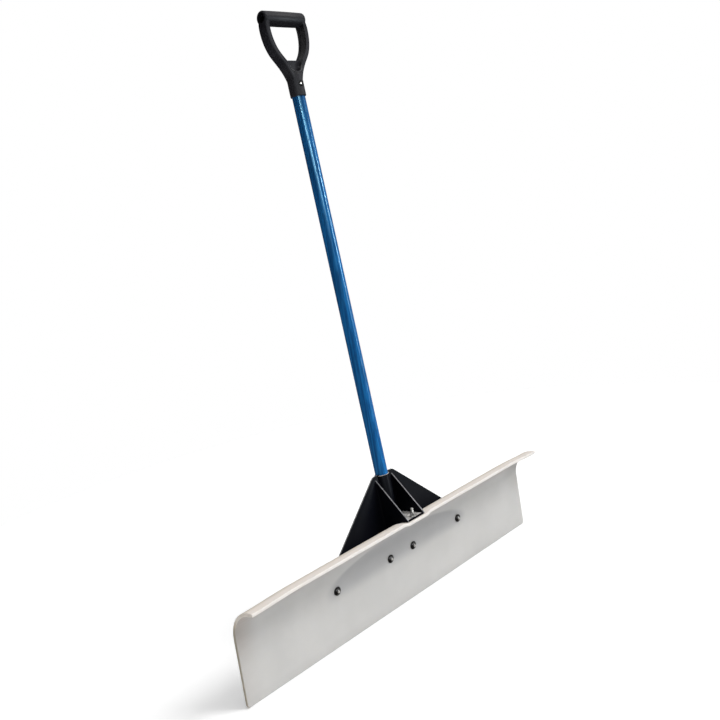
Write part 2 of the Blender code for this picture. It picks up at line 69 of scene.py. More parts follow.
# ------------------------------------------------------------ material helper
class Nodes:
    """A material's node tree with short calls."""

    def __init__(self, name):
        self.mat = bpy.data.materials.new(name)
        self.mat.use_nodes = True
        self.tree = self.mat.node_tree
        self.bsdf = self.tree.nodes["Principled BSDF"]
        self.out = self.tree.nodes["Material Output"]
        coord = self.tree.nodes.new("ShaderNodeTexCoord")
        self.pos = coord.outputs["Object"]

    def put(self, socket, value):
        if isinstance(value, bpy.types.NodeSocket):
            self.tree.links.new(value, socket)
        elif isinstance(value, (tuple, list)) and len(value) == 3 and socket.type == 'RGBA':
            socket.default_value = (*value, 1.0)
        else:
            socket.default_value = value

    def new(self, kind, **values):
        node = self.tree.nodes.new(kind)
        for key, value in values.items():
            setattr(node, key, value)
        return node

    def set(self, **values):
        for key, value in values.items():
            self.put(self.bsdf.inputs[key.replace("_", " ")], value)

    def math(self, op, a, b=0.0, c=0.0, clamp=False):
        node = self.new("ShaderNodeMath", operation=op, use_clamp=clamp)
        for i, v in enumerate((a, b, c)):
            self.put(node.inputs[i], v)
        return node.outputs[0]

    def xyz(self, vector=None):
        node = self.new("ShaderNodeSeparateXYZ")
        self.put(node.inputs[0], vector or self.pos)
        return node.outputs

    def scaled(self, sx, sy, sz, vector=None):
        node = self.new("ShaderNodeMapping")
        self.put(node.inputs["Vector"], vector or self.pos)
        node.inputs["Scale"].default_value = (sx, sy, sz)
        return node.outputs[0]

    def noise(self, scale, detail=3.0, rough=0.5, vector=None, distortion=0.0):
        node = self.new("ShaderNodeTexNoise")
        self.put(node.inputs["Vector"], vector or self.pos)
        node.inputs["Scale"].default_value = scale
        node.inputs["Detail"].default_value = detail
        node.inputs["Roughness"].default_value = rough
        node.inputs["Distortion"].default_value = distortion
        return node.outputs[0]

    def voronoi(self, scale, vector=None, feature='F1'):
        node = self.new("ShaderNodeTexVoronoi", feature=feature)
        self.put(node.inputs["Vector"], vector or self.pos)
        node.inputs["Scale"].default_value = scale
        return node.outputs["Distance"]

    def ramp(self, value, stops, interpolation='LINEAR'):
        node = self.new("ShaderNodeValToRGB")
        self.put(node.inputs[0], value)
        ramp = node.color_ramp
        ramp.interpolation = interpolation
        while len(ramp.elements) < len(stops):
            ramp.elements.new(0.5)
        for element, (place, colour) in zip(ramp.elements, stops):
            element.position = place
            if not isinstance(colour, (tuple, list)):
                colour = (colour,) * 3
            element.color = (*colour, 1.0)
        return node.outputs[0]

    def step(self, value, low, high):
        """0 below low, 1 above high, smooth between."""
        node = self.new("ShaderNodeMapRange", interpolation_type='SMOOTHSTEP')
        self.put(node.inputs[0], value)
        node.inputs[1].default_value = low
        node.inputs[2].default_value = high
        return node.outputs[0]

    def mix(self, factor, a, b, blend='MIX'):
        node = self.new("ShaderNodeMix", data_type='RGBA', blend_type=blend)
        node.clamp_factor = True
        self.put(node.inputs[0], factor)
        self.put(node.inputs[6], a)
        self.put(node.inputs[7], b)
        return node.outputs[2]

    def attribute(self, name):
        node = self.new("ShaderNodeAttribute", attribute_name=name)
        return node.outputs["Fac"]

    def bump(self, height, distance, strength=1.0, normal=None):
        node = self.new("ShaderNodeBump")
        node.inputs["Strength"].default_value = strength
        node.inputs["Distance"].default_value = distance
        self.put(node.inputs["Height"], height)
        if normal is not None:
            self.put(node.inputs["Normal"], normal)
        return node.outputs[0]


# ------------------------------------------------------------------ materials
def make_poly():
    """Milky polyethylene sheet. Painted shade: the sheet is painted grey where the steel plate
    lies at its back, from the plate's lower edge up to where the curl leaves it."""
    n = Nodes("polyethylene_white")
    x, y, z = n.xyz()
    ax = n.math('ABSOLUTE', x)
    # outline of the plate's painted shade: the wings slope inwards above the bolts, with a rounded corner
    over = n.math('MAXIMUM', 0.0, n.math('SUBTRACT', z, 0.114))
    reach = n.math('MULTIPLY_ADD', n.math('MULTIPLY', over, over), 62.0, ax)
    across = n.math('SUBTRACT', 1.0, n.step(reach, 0.206, 0.238))
    rising = n.step(z, 0.087, 0.117)
    leaving = n.math('SUBTRACT', 1.0, n.step(z, 0.150, 0.186))
    plate_shade = n.math('MULTIPLY', n.math('MULTIPLY', across, rising), leaving)
    # painted shade round each bolt, standing for the shallow dimple each seat presses into the sheet
    ring = None
    for bx in BOLT_X:
        away = n.new("ShaderNodeVectorMath", operation='DISTANCE')
        n.put(away.inputs[0], n.pos)
        away.inputs[1].default_value = (bx, -THICK / 2, BOLT_Z)
        bolt_dimple_shade = n.math('SUBTRACT', 1.0, n.step(away.outputs["Value"], 0.006, 0.030))
        ring = bolt_dimple_shade if ring is None else n.math('MAXIMUM', ring, bolt_dimple_shade)
    cloud = n.noise(9.0, 3.0, 0.55)
    fine = n.noise(1.0, 4.0, 0.6, n.scaled(14.0, 90.0, 160.0))
    base = n.mix(n.step(cloud, 0.35, 0.68), (0.592, 0.590, 0.580), (0.626, 0.622, 0.611))
    base = n.mix(n.math('MULTIPLY', n.step(fine, 0.52, 0.80), 0.16), base, (0.60, 0.595, 0.58))
    shade = n.math('MAXIMUM', plate_shade, n.math('MULTIPLY', ring, 0.45))
    uneven = n.math('MULTIPLY', shade, n.math('MULTIPLY_ADD', n.noise(26.0, 2.0), 0.35, 0.80))
    base = n.mix(uneven, base, (0.460, 0.462, 0.466))
    # the curl above z 0.15 is tinted warmer and darker in streaks along the blade; the end at -X gets a
    # tan tint, stronger higher up
    under = n.step(z, 0.150, 0.182)
    streak = n.noise(1.0, 5.0, 0.7, n.scaled(7.0, 120.0, 210.0), 0.4)
    base = n.mix(n.math('MULTIPLY', under, 0.55), base, (0.590, 0.545, 0.520))
    base = n.mix(n.math('MULTIPLY', n.math('MULTIPLY', under, n.step(streak, 0.50, 0.66)), 0.60),
                 base, (0.42, 0.370, 0.345))
    near = n.math('SUBTRACT', 1.0, n.step(x, -0.457, -0.400))
    near = n.math('MULTIPLY', near, n.math('MULTIPLY_ADD', n.step(z, 0.070, 0.160), 0.75, 0.25))
    base = n.mix(n.math('MULTIPLY', near, n.math('MULTIPLY_ADD', streak, 0.5, 0.45)), base,
                 (0.455, 0.405, 0.370))
    # the scraping edge is scoured dull; the far end is darker between z 0.06 and 0.15
    low = n.math('SUBTRACT', 1.0, n.step(z, 0.000, 0.022))
    base = n.mix(n.math('MULTIPLY', low, 0.22), base, (0.46, 0.452, 0.440))
    far = n.math('MULTIPLY', n.step(x, 0.385, 0.457), n.step(z, 0.060, 0.150))
    base = n.mix(n.math('MULTIPLY', far, 0.72), base, (0.365, 0.358, 0.346))
    # painted light and shade on the outer face of the curl: tan where it turns back, light cream towards
    # the tip, where it faces up; then the cut edges
    outer = n.math('MULTIPLY', n.attribute("outer"), n.step(z, 0.165, 0.192))
    reach = n.math('MULTIPLY_ADD', y, -31.0, -0.90)
    lip = n.ramp(n.math('MULTIPLY_ADD', n.math('SUBTRACT', fine, 0.5), 0.35, reach),
                 [(0.0, (0.60, 0.540, 0.450)), (0.35, (0.76, 0.690, 0.610)),
                  (0.80, (0.87, 0.800, 0.745)), (1.0, (0.85, 0.785, 0.735))])
    base = n.mix(n.math('MULTIPLY', outer, 0.9), base, lip)
    edge = n.attribute("edge")
    grain = n.noise(1.0, 3.0, 0.6, n.scaled(30.0, 900.0, 900.0))
    edge = n.math('MULTIPLY', edge, n.math('MULTIPLY_ADD', n.step(z, 0.100, 0.150), 0.75, 0.25))
    base = n.mix(n.math('MULTIPLY', edge, 0.8), base,
                 n.mix(n.step(grain, 0.4, 0.7), (0.89, 0.860, 0.830), (0.82, 0.780, 0.740)))
    # end faces: darker tan below z 0.15; in the curl, painted light near white lifts them out of their
    # shade
    ends = n.attribute("end")
    end_tan_and_painted_light = n.mix(n.step(z, 0.150, 0.175), (0.44, 0.385, 0.305), (0.95, 0.865, 0.775))
    base = n.mix(n.math('MULTIPLY', ends, 0.9), base, end_tan_and_painted_light)
    # light scuffs from handling, along and across the face
    scuff = n.noise(1.0, 5.0, 0.7, n.scaled(220.0, 30.0, 9.0), 0.6)
    mask = n.math('MULTIPLY', n.step(scuff, 0.60, 0.74), n.step(n.noise(5.0, 2.0), 0.50, 0.72))
    base = n.mix(n.math('MULTIPLY', mask, 0.18), base, (0.50, 0.495, 0.48))
    n.set(Base_Color=base, Subsurface_Weight=0.18, Subsurface_Scale=0.010,
          Subsurface_Radius=(1.0, 0.92, 0.78), Specular_IOR_Level=0.32)
    n.set(Roughness=n.math('MULTIPLY_ADD', fine, 0.14, 0.40))
    height = n.math('ADD', n.math('MULTIPLY', n.noise(1.0, 2.0, 0.5, n.scaled(3.0, 60.0, 60.0)), 0.6),
                    n.math('MULTIPLY', fine, 0.25))
    n.set(Normal=n.bump(height, 0.0006, 0.35))
    return n.mat


def make_steel(name="steel_black", edge=False, kind=""):
    n = Nodes(name)
    peel = n.noise(620.0, 2.0, 0.5)
    broad = n.noise(14.0, 3.0, 0.6)
    dust = n.step(n.noise(70.0, 5.0, 0.65), 0.58, 0.80)
    if edge:
        rub = n.step(n.noise(160.0, 4.0, 0.7), 0.36, 0.62)
        base = n.mix(rub, (0.085, 0.085, 0.090), (0.185, 0.185, 0.195))
        n.set(Base_Color=base, Metallic=0.35, Specular_IOR_Level=0.5,
              Roughness=n.math('MULTIPLY_ADD', broad, 0.12, 0.34))
        n.set(Normal=n.bump(n.noise(1.0, 3.0, 0.6, n.scaled(500, 2500, 500)), 0.0001, 0.5))
        return n.mat
    base = n.mix(n.math('MULTIPLY', dust, 0.35), (0.0030, 0.0034, 0.0062), (0.014, 0.0145, 0.019))
    base = n.mix(n.math('MULTIPLY', broad, 0.5), base, (0.0055, 0.0062, 0.0095))
    if kind == "floor":
        # dried salt and dust lie on the plate that faces up
        wiped = n.noise(1.0, 5.0, 0.65, n.scaled(60.0, 260.0, 60.0), 0.8)
        film = n.mix(n.step(wiped, 0.38, 0.66), (0.30, 0.292, 0.282), (0.70, 0.686, 0.664))
        up = n.new("ShaderNodeNewGeometry").outputs["Normal"]
        facing = n.xyz(up)[2]
        inside = n.math('SUBTRACT', 1.0, n.step(n.math('ABSOLUTE', n.xyz()[0]), 0.0205, 0.0240))
        clear = n.math('SUBTRACT', 1.0, n.step(n.math('MULTIPLY', n.xyz()[1], -1.0), 0.0585, 0.0615))
        film_mask = n.math('MULTIPLY', n.step(facing, 0.75, 0.95), n.math('MULTIPLY', inside, clear))
        base = n.mix(film_mask, base, film)
    n.set(Base_Color=base, Specular_IOR_Level=0.05,
          Roughness=n.math('MULTIPLY_ADD', broad, 0.16, 0.36))
    n.set(Normal=n.bump(n.math('MULTIPLY_ADD', peel, 1.0, n.math('MULTIPLY', broad, 0.3)),
                        0.00022, 0.45))
    return n.mat


def make_tube():
    """Pultruded glass-fibre tube: lengthwise fibres under a glossy resin skin."""
    n = Nodes("glass_fibre_blue")
    x, y, z = n.xyz()
    fibre = n.noise(1.0, 5.0, 0.62, n.scaled(620.0, 620.0, 7.0))
    wide = n.noise(1.0, 4.0, 0.6, n.scaled(230.0, 230.0, 2.4))
    cloud = n.noise(16.0, 3.0, 0.6)
    fleck = n.step(n.noise(1.0, 3.0, 0.6, n.scaled(900.0, 900.0, 60.0)), 0.62, 0.80)
    base = n.mix(n.step(wide, 0.38, 0.62), (0.0085, 0.098, 0.310), (0.0165, 0.198, 0.560))
    base = n.mix(n.math('MULTIPLY', n.step(fibre, 0.50, 0.78), 0.55), base, (0.028, 0.165, 0.365))
    base = n.mix(n.math('MULTIPLY', n.step(fibre, 0.46, 0.24), 0.50), base, (0.004, 0.036, 0.120))
    base = n.mix(n.math('MULTIPLY', n.step(cloud, 0.45, 0.75), 0.22), base, (0.020, 0.135, 0.320))
    base = n.mix(n.math('MULTIPLY', fleck, 0.16), base, (0.10, 0.28, 0.48))
    # faint lighter streaks along the tube, in patches
    rub = n.math('MULTIPLY', n.step(n.noise(1.0, 4.0, 0.7, n.scaled(420, 420, 26)), 0.66, 0.78),
                 n.step(n.noise(11.0, 2.0), 0.52, 0.70))
    base = n.mix(n.math('MULTIPLY', rub, 0.35), base, (0.22, 0.42, 0.60))
    n.set(Base_Color=base, Specular_IOR_Level=0.42, Specular_Tint=(0.36, 0.78, 1.0),
          Coat_Weight=0.02, Coat_Roughness=0.08, Roughness=n.math('MULTIPLY_ADD', fibre, 0.16, 0.13))
    n.set(Normal=n.bump(fibre, 0.00012, 0.22))
    n.put(n.bsdf.inputs["Coat Normal"], n.bump(fibre, 0.0001, 0.25))
    return n.mat


def make_grip():
    """Moulded grip: spark-textured black plastic, smoother where hands rub it."""
    n = Nodes("plastic_black")
    spark = n.voronoi(1500.0)
    coarse = n.noise(420.0, 3.0, 0.6)
    broad = n.noise(22.0, 3.0, 0.6)
    base = n.mix(n.step(coarse, 0.40, 0.66), (0.0150, 0.0150, 0.0200), (0.0265, 0.0260, 0.0335))
    base = n.mix(n.math('MULTIPLY', n.step(broad, 0.45, 0.75), 0.35), base, (0.0340, 0.0338, 0.0390))
    # palms polish the middle of the bar
    x, y, z = n.xyz()
    worn = n.math('MULTIPLY', n.step(z, 1.270, 1.284),
                  n.math('SUBTRACT', 1.0, n.step(n.math('ABSOLUTE', x), 0.016, 0.040)))
    base = n.mix(n.math('MULTIPLY', worn, 0.35), base, (0.022, 0.0215, 0.0250))
    # painted highlight on the foot below the opening; the arms a little lighter; and a painted highlight
    # along the bead round the opening
    foot = n.math('SUBTRACT', 1.0, n.step(z, 1.180, 1.204))
    arms = n.math('MULTIPLY', n.step(z, 1.200, 1.216), n.math('SUBTRACT', 1.0, n.step(z, 1.262, 1.280)))
    base = n.mix(n.math('MULTIPLY', arms, 0.7), base,
                 n.mix(coarse, (0.030, 0.030, 0.037), (0.050, 0.050, 0.058)))
    base = n.mix(n.math('MULTIPLY', foot, 0.85), base,
                 n.mix(coarse, (0.034, 0.034, 0.040), (0.056, 0.055, 0.062)))
    # painted highlight along the bead round the opening
    across, down = n.math('MULTIPLY', x, 63.3), n.math('MULTIPLY_ADD', z, 60.6, -72.32)
    oval = n.math('SQRT', n.math('ADD', n.math('MULTIPLY', across, across),
                                 n.math('MULTIPLY', down, down)))
    off = n.math('ABSOLUTE', n.math('SUBTRACT', oval, 1.0))
    bead = n.math('MULTIPLY', n.math('SUBTRACT', 1.0, n.step(off, 0.05, 0.10)),
                  n.math('SUBTRACT', 1.0, n.step(z, 1.192, 1.196)))
    base = n.mix(n.math('MULTIPLY', bead, 0.8), base, (0.120, 0.120, 0.125))
    # painted shade in the rivet's recess
    rz = n.math('ADD', z, -RIVET_AT * math.cos(LEAN) - RIVET_SEAT * math.sin(LEAN))
    round_rivet = n.math('SQRT', n.math('ADD', n.math('MULTIPLY', x, x), n.math('MULTIPLY', rz, rz)))
    base = n.mix(n.math('SUBTRACT', 1.0, n.step(round_rivet, 0.0062, 0.0071)), base,
                 (0.0020, 0.0020, 0.0026))
    # painted light on the inner faces of the arms, which face away from the lamps, with painted highlight
    # lines along them
    face_x = n.xyz(n.new("ShaderNodeNewGeometry").outputs["Normal"])[0]
    inward = n.math('MULTIPLY', n.math('MULTIPLY', face_x, n.math('SIGN', x)), -1.0)
    inner = n.math('MULTIPLY', n.step(inward, 0.55, 0.85),
                   n.math('MULTIPLY', n.step(z, 1.196, 1.212),
                          n.math('SUBTRACT', 1.0, n.step(z, 1.268, 1.280))))
    ridge_highlight_lines = n.noise(1.0, 3.0, 0.6, n.scaled(30.0, 700.0, 12.0))
    base = n.mix(n.math('MULTIPLY', inner, 0.9), base,
                 n.mix(n.step(ridge_highlight_lines, 0.40, 0.62), (0.042, 0.042, 0.046), (0.150, 0.150, 0.155)))
    n.set(Base_Color=base, Specular_IOR_Level=0.10,
          Roughness=n.math('MULTIPLY_ADD', coarse, 0.16, n.math('MULTIPLY_ADD', worn, -0.10, 0.42)))
    n.set(Normal=n.bump(n.math('ADD', n.math('MULTIPLY', spark, 0.6), coarse), 0.00022, 0.55))
    return n.mat


def make_zinc(name="zinc", dark=False):
    n = Nodes(name)
    spangle = n.voronoi(420.0)
    fine = n.noise(900.0, 3.0, 0.6)
    if dark:
        base = n.mix(fine, (0.006, 0.005, 0.005), (0.030, 0.026, 0.023))
        n.set(Base_Color=base, Metallic=0.6, Roughness=n.math('MULTIPLY_ADD', fine, 0.22, 0.30))
    else:
        base = n.mix(n.step(spangle, 0.1, 0.7), (0.50, 0.50, 0.49), (0.66, 0.655, 0.63))
        base = n.mix(n.math('MULTIPLY', n.step(fine, 0.55, 0.75), 0.45), base, (0.30, 0.29, 0.275))
        n.set(Base_Color=base, Metallic=0.65, Roughness=n.math('MULTIPLY_ADD', fine, 0.18, 0.13))
    n.set(Normal=n.bump(fine, 0.00008, 0.5))
    return n.mat


def make_rim():
    """Cut end of the socket, a pale tan, lighter in patches."""
    n = Nodes("steel_pale_rim")
    rub = n.step(n.noise(260.0, 4.0, 0.7), 0.34, 0.60)
    base = n.mix(rub, (0.30, 0.262, 0.215), (0.78, 0.70, 0.60))
    n.set(Base_Color=base, Specular_IOR_Level=0.3, Roughness=n.math('MULTIPLY_ADD', rub, 0.2, 0.45))
    n.set(Normal=n.bump(n.noise(1400.0, 3.0, 0.6), 0.0001, 0.5))
    return n.mat


def make_rivet_metal():
    """Steel rivet, scratched on top of its dome; painted highlight in the middle of the dome and painted
    shade towards its edge.
    """
    n = Nodes("rivet_steel")
    fine = n.noise(1100.0, 3.0, 0.6)
    scratch = n.step(n.noise(1.0, 3.0, 0.7, n.scaled(300.0, 900.0, 2600.0)), 0.58, 0.70)
    x, y, z = n.xyz()
    rz = n.math('ADD', z, -RIVET_AT * math.cos(LEAN) - RIVET_SEAT * math.sin(LEAN))
    away = n.math('SQRT', n.math('ADD', n.math('MULTIPLY', x, x), n.math('MULTIPLY', rz, rz)))
    # painted highlight in the middle of the dome, painted shade towards its edge
    dark = n.step(n.math('MULTIPLY_ADD', n.math('SUBTRACT', fine, 0.5), 0.002, away), 0.0018, 0.0032)
    base = n.mix(dark, n.mix(fine, (0.60, 0.59, 0.57), (0.85, 0.84, 0.82)),
                 n.mix(fine, (0.020, 0.019, 0.018), (0.060, 0.058, 0.055)))
    base = n.mix(n.math('MULTIPLY', scratch, 0.5), base, (0.42, 0.41, 0.395))
    n.set(Base_Color=base, Metallic=0.6, Roughness=n.math('MULTIPLY_ADD', fine, 0.14, 0.12))
    n.set(Normal=n.bump(fine, 0.00005, 0.4))
    return n.mat


def make_bolt_head():
    """Blackened button head; its middle is painted bright, partly bare metal and partly a painted
    highlight.
    """
    n = Nodes("bolt_head")
    near = None
    for bx in BOLT_X:
        v = n.new("ShaderNodeVectorMath", operation='SUBTRACT')
        n.put(v.inputs[0], n.pos)
        v.inputs[1].default_value = (bx, 0.0, BOLT_Z)
        x, y, z = n.xyz(v.outputs[0])
        flat = n.math('SQRT', n.math('ADD', n.math('MULTIPLY', x, x), n.math('MULTIPLY', z, z)))
        near = flat if near is None else n.math('MINIMUM', near, flat)
    fine = n.noise(700.0, 4.0, 0.65)
    # bright middle of each head: partly bare metal, partly painted highlight
    worn = n.math('SUBTRACT', 1.0, n.step(n.math('MULTIPLY_ADD', n.math('SUBTRACT', fine, 0.5),
                                                 0.003, near), 0.0018, 0.0037))
    base = n.mix(worn, n.mix(fine, (0.006, 0.005, 0.005), (0.030, 0.025, 0.022)),
                 n.mix(fine, (0.62, 0.590, 0.565), (0.95, 0.925, 0.895)))
    n.set(Base_Color=base, Metallic=n.math('MULTIPLY_ADD', worn, 0.15, 0.2),
          Roughness=n.math('MULTIPLY_ADD', fine, 0.18, 0.20))
    n.set(Normal=n.bump(fine, 0.0001, 0.6))
    return n.mat


POLY, STEEL, STEEL_EDGE = make_poly(), make_steel(), make_steel("steel_sheared_edge", True)
STEEL_FLOOR, RIM = make_steel("steel_dusty", kind="floor"), make_rim()
TUBE, GRIP, ZINC, DARK = make_tube(), make_grip(), make_zinc(), make_zinc("black_oxide", True)
BOLT_DARK, RIVET = make_bolt_head(), make_rivet_metal()


# -------------------------------------------------------------- mesh helpers
def obj_from(name, bm, mats, matrix=I4, smooth_angle=35.0):
    bmesh.ops.recalc_face_normals(bm, faces=bm.faces)
    mesh = bpy.data.meshes.new(name)
    bm.to_mesh(mesh)
    bm.free()
    mesh.transform(matrix)
    mats = mats if isinstance(mats, (list, tuple)) else [mats]
    for mat in mats:
        mesh.materials.append(mat)
    mesh.shade_smooth()
    if smooth_angle < 180:
        mesh.set_sharp_from_angle(angle=math.radians(smooth_angle))
    obj = bpy.data.objects.new(name, mesh)
    SCENE.collection.objects.link(obj)
    return obj


def bake_modifiers(obj, smooth_angle=35.0):
    bpy.context.view_layer.update()
    graph = bpy.context.evaluated_depsgraph_get()
    mesh = bpy.data.meshes.new_from_object(obj.evaluated_get(graph))
    mesh.name = obj.name
    old = obj.data
    obj.modifiers.clear()
    obj.data = mesh
    bpy.data.meshes.remove(old)
    mesh.shade_smooth()
    if smooth_angle < 180:
        mesh.set_sharp_from_angle(angle=math.radians(smooth_angle))
    return obj


def boolean(obj, tools, operation='DIFFERENCE'):
    """Cuts or joins tools, given as objects, and removes them."""
    for tool in tools:
        mod = obj.modifiers.new("b", 'BOOLEAN')
        mod.operation, mod.solver, mod.object = operation, 'EXACT', tool
    bake_modifiers(obj)
    for tool in tools:
        bpy.data.objects.remove(tool, do_unlink=True)
    return obj


def bevel(obj, width, segments=2, angle=40.0):
    mod = obj.modifiers.new("bevel", 'BEVEL')
    mod.width, mod.segments, mod.limit_method = width, segments, 'ANGLE'
    mod.angle_limit = math.radians(angle)
    mod.harden_normals = False
    mod.material = -1
    return bake_modifiers(obj)


def circle(radius, steps, x=0.0, y=0.0, start=0.0):
    return [(x + radius * math.cos(start + 2 * math.pi * i / steps),
             y + radius * math.sin(start + 2 * math.pi * i / steps)) for i in range(steps)]


def arc(cx, cy, radius, start, end, steps):
    return [(cx + radius * math.cos(math.radians(start + (end - start) * i / steps)),
             cy + radius * math.sin(math.radians(start + (end - start) * i / steps)))
            for i in range(steps + 1)]


def revolve(profile, steps=64, bm=None, close=False):
    """Solid of revolution about local Z; a profile end at x = 0 closes it."""
    bm = bm or bmesh.new()
    rings = []
    for x, z in profile:
        if abs(x) < 1e-9:
            rings.append([bm.verts.new((0, 0, z))])
        else:
            rings.append([bm.verts.new((x * math.cos(2 * math.pi * i / steps),
                                        x * math.sin(2 * math.pi * i / steps), z))
                          for i in range(steps)])
    pairs = list(zip(rings, rings[1:])) + ([(rings[-1], rings[0])] if close else [])
    for a, b in pairs:
        for i in range(steps):
            j = (i + 1) % steps
            if len(a) == 1 and len(b) == 1:
                continue
            if len(a) == 1:
                bm.faces.new((a[0], b[i], b[j]))
            elif len(b) == 1:
                bm.faces.new((a[i], a[j], b[0]))
            else:
                bm.faces.new((a[i], a[j], b[j], b[i]))
    return bm


def prism(outline, half, bm=None):
    """Outline in local XY extruded by half each way along Z. Side faces get material 1."""
    bm = bm or bmesh.new()
    low = [bm.verts.new((x, y, -half)) for x, y in outline]
    high = [bm.verts.new((x, y, half)) for x, y in outline]
    bm.faces.new(low[::-1])
    bm.faces.new(high)
    count = len(outline)
    for i in range(count):
        j = (i + 1) % count
        bm.faces.new((low[i], low[j], high[j], high[i])).material_index = 1
    return bm


def rod(name, radius, length, matrix, steps=40, bottom=0.0):
    bm = revolve([(0, bottom), (radius, bottom), (radius, bottom + length), (0, bottom + length)],
                 steps)
    return obj_from(name, bm, [ZINC], matrix)


def piece(obj, slot, *nodes):
    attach(obj, "root")
    if nodes:
        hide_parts(*nodes)
    return obj


def thread(radius, low, high, pitch, depth, steps=28, lead=0.0008):
    """Threaded rod about local Z, chamfered at its upper end."""
    bm = bmesh.new()
    rows = max(8, int((high - low) / pitch * 8))
    grid = []
    for k in range(rows + 1):
        z = low + (high - low) * k / rows
        ring = []
        for i in range(steps):
            turn = i / steps
            phase = (z / pitch - turn) % 1.0
            wave = abs(2 * phase - 1)
            wave = min(1.0, max(0.0, (wave - 0.12) / 0.76))
            fade = min(1.0, max(0.0, (z - low) / pitch))
            r = radius - depth * wave * fade
            if z > high - lead:
                r = min(r, radius - depth * (z - high + lead) / lead * 1.1)
            ring.append(bm.verts.new((r * math.cos(2 * math.pi * turn),
                                      r * math.sin(2 * math.pi * turn), z)))
        grid.append(ring)
    for a, b in zip(grid, grid[1:]):
        for i in range(steps):
            j = (i + 1) % steps
            bm.faces.new((a[i], a[j], b[j], b[i]))
    for ring, z in ((grid[0], low), (grid[-1], high)):
        centre = bm.verts.new((0, 0, z))
        for i in range(steps):
            bm.faces.new((ring[i], ring[(i + 1) % steps], centre))
    return bm


# ---------------------------------------------------------------------- blade
def bend(v, t):
    """(Y, Z) of a point v along the sheet's section and t out towards its back."""
    centre = -THICK / 2 - CURL_R
    if v <= FLAT:
        return t, v
    a = min((v - FLAT) / MID_R, CURL_A)
    y, z = centre + (MID_R + t) * math.cos(a), FLAT + (MID_R + t) * math.sin(a)
    e = max(0.0, v - FLAT - MID_R * CURL_A)
    return y - e * math.sin(CURL_A), z + e * math.cos(CURL_A)


def section(inset, edge_r, steps_v):
    """Half of the sheet's section, from the lower edge's middle round to the tip's."""
    half, low, high = THICK / 2 - inset, inset, SPAN - inset
    r = max(edge_r - inset, 0.0001)
    points = [(low, 0.0, 1), (low, -(half - r) * 0.5, 1)]
    for k in range(5):
        a = math.pi / 2 * k / 4
        points.append((low + r - r * math.cos(a), -(half - r) - r * math.sin(a), 1 - k / 4))
    for v in steps_v:
        points.append((v, -half, 0))
    for k in range(5):
        a = math.pi / 2 * k / 4
        points.append((high - r + r * math.sin(a), -(half - r) - r * math.cos(a), k / 4))
    points += [(high, -(half - r) * 0.5, 1), (high, 0.0, 1)]
    return points


def ease(u):
    u = min(1.0, max(0.0, u))
    return u * u * (3 - 2 * u)


def make_blade():
    edge_r, corner = 0.0009, 0.006
    steps_v = [0.002, 0.003, 0.0045, 0.006, 0.009, 0.014, 0.022, 0.034, 0.048, 0.062, 0.078, 0.094,
               0.108, 0.118, 0.126]
    steps_v += [FLAT + MID_R * CURL_A * k / 30 for k in range(31)]
    steps_v += [SPAN - LIP + 0.004, SPAN - 0.004, SPAN - 0.002]
    stations = []
    for k in range(5):
        a = math.pi / 2 * k / 4
        stations.append((edge_r * (1 - math.cos(a)), edge_r * (1 - math.sin(a))))   # inset, depth
    ends = stations[::-1] + [(0.0, d) for d in (0.003, 0.006, 0.010, 0.016, 0.024)]
    inner = 180
    places = [(i, LENGTH / 2 - d) for i, d in ends]
    span = 2 * (LENGTH / 2 - 0.024)
    places += [(0.0, LENGTH / 2 - 0.024 - span * k / inner) for k in range(1, inner)]
    places += [(i, -(LENGTH / 2 - d)) for i, d in reversed(ends)]
    bm = bmesh.new()
    outer_l = bm.verts.layers.float.new("outer")
    edge_l = bm.verts.layers.float.new("edge")
    end_l = bm.verts.layers.float.new("end")
    rings = []
    for inset, x in places:
        half = section(inset, edge_r, steps_v)
        loop = [(v, t, e) for v, t, e in half] + [(v, -t, e) for v, t, e in reversed(half[1:-1])]
        ring = []
        depth = LENGTH / 2 - abs(x)
        for v, t, e in loop:
            pull = 0.0
            if v < corner:
                pull = corner - math.sqrt(max(0.0, corner ** 2 - (corner - v) ** 2))
                pull *= max(0.0, 1 - depth / 0.024)
            y, z = bend(v, t)
            # the sheet lies a little uneven along its length
            sway = noise.noise(Vector((x * 3.1, v * 4.0, 1.7))) * 0.0005 * min(1.0, v / 0.05)
            sway *= ease((SPAN - v) / 0.040)
            # sprung up a little on both sides of the bolt that holds the lip down
            far = abs(x)
            rise = ease((far - 0.0268) / 0.0180) * ease((0.452 - far) / 0.105)
            rise *= 0.0034 * ease((v - FLAT - 0.012) / 0.040)
            vert = bm.verts.new((x - math.copysign(pull, x), y + sway, z + rise))
            vert[outer_l] = 1.0 if t > 0.0005 else (0.5 if t > -0.0005 else 0.0)
            vert[edge_l] = e
            vert[end_l] = max(0.0, 1 - depth / 0.0010)
            ring.append(vert)
        rings.append(ring)
    count = len(rings[0])
    for a, b in zip(rings, rings[1:]):
        for i in range(count):
            j = (i + 1) % count
            bm.faces.new((a[i], a[j], b[j], b[i]))
    half_count = (count + 2) // 2
    for ring in (rings[0], rings[-1]):
        for i in range(half_count - 1):
            a, b = ring[i], ring[i + 1]
            c, d = ring[(count - i - 1) % count], ring[(count - i) % count]
            corners = []
            for vert in (a, b, c, d):
                if vert not in corners:
                    corners.append(vert)
            if len(corners) > 2:
                bm.faces.new(corners)
    obj = obj_from("blade_sheet", bm, [POLY], smooth_angle=60)
    holes = [rod("hole", 0.0036, 0.030, at(x, 0.015, BOLT_Z, POINT_FRONT)) for x in BOLT_X]
    holes.append(rod("hole", 0.0042, 0.040, LIP_FRAME @ at(0, 0, -0.030)))
    boolean(obj, holes)
    return piece(obj, "polyethylene_white", "blade")


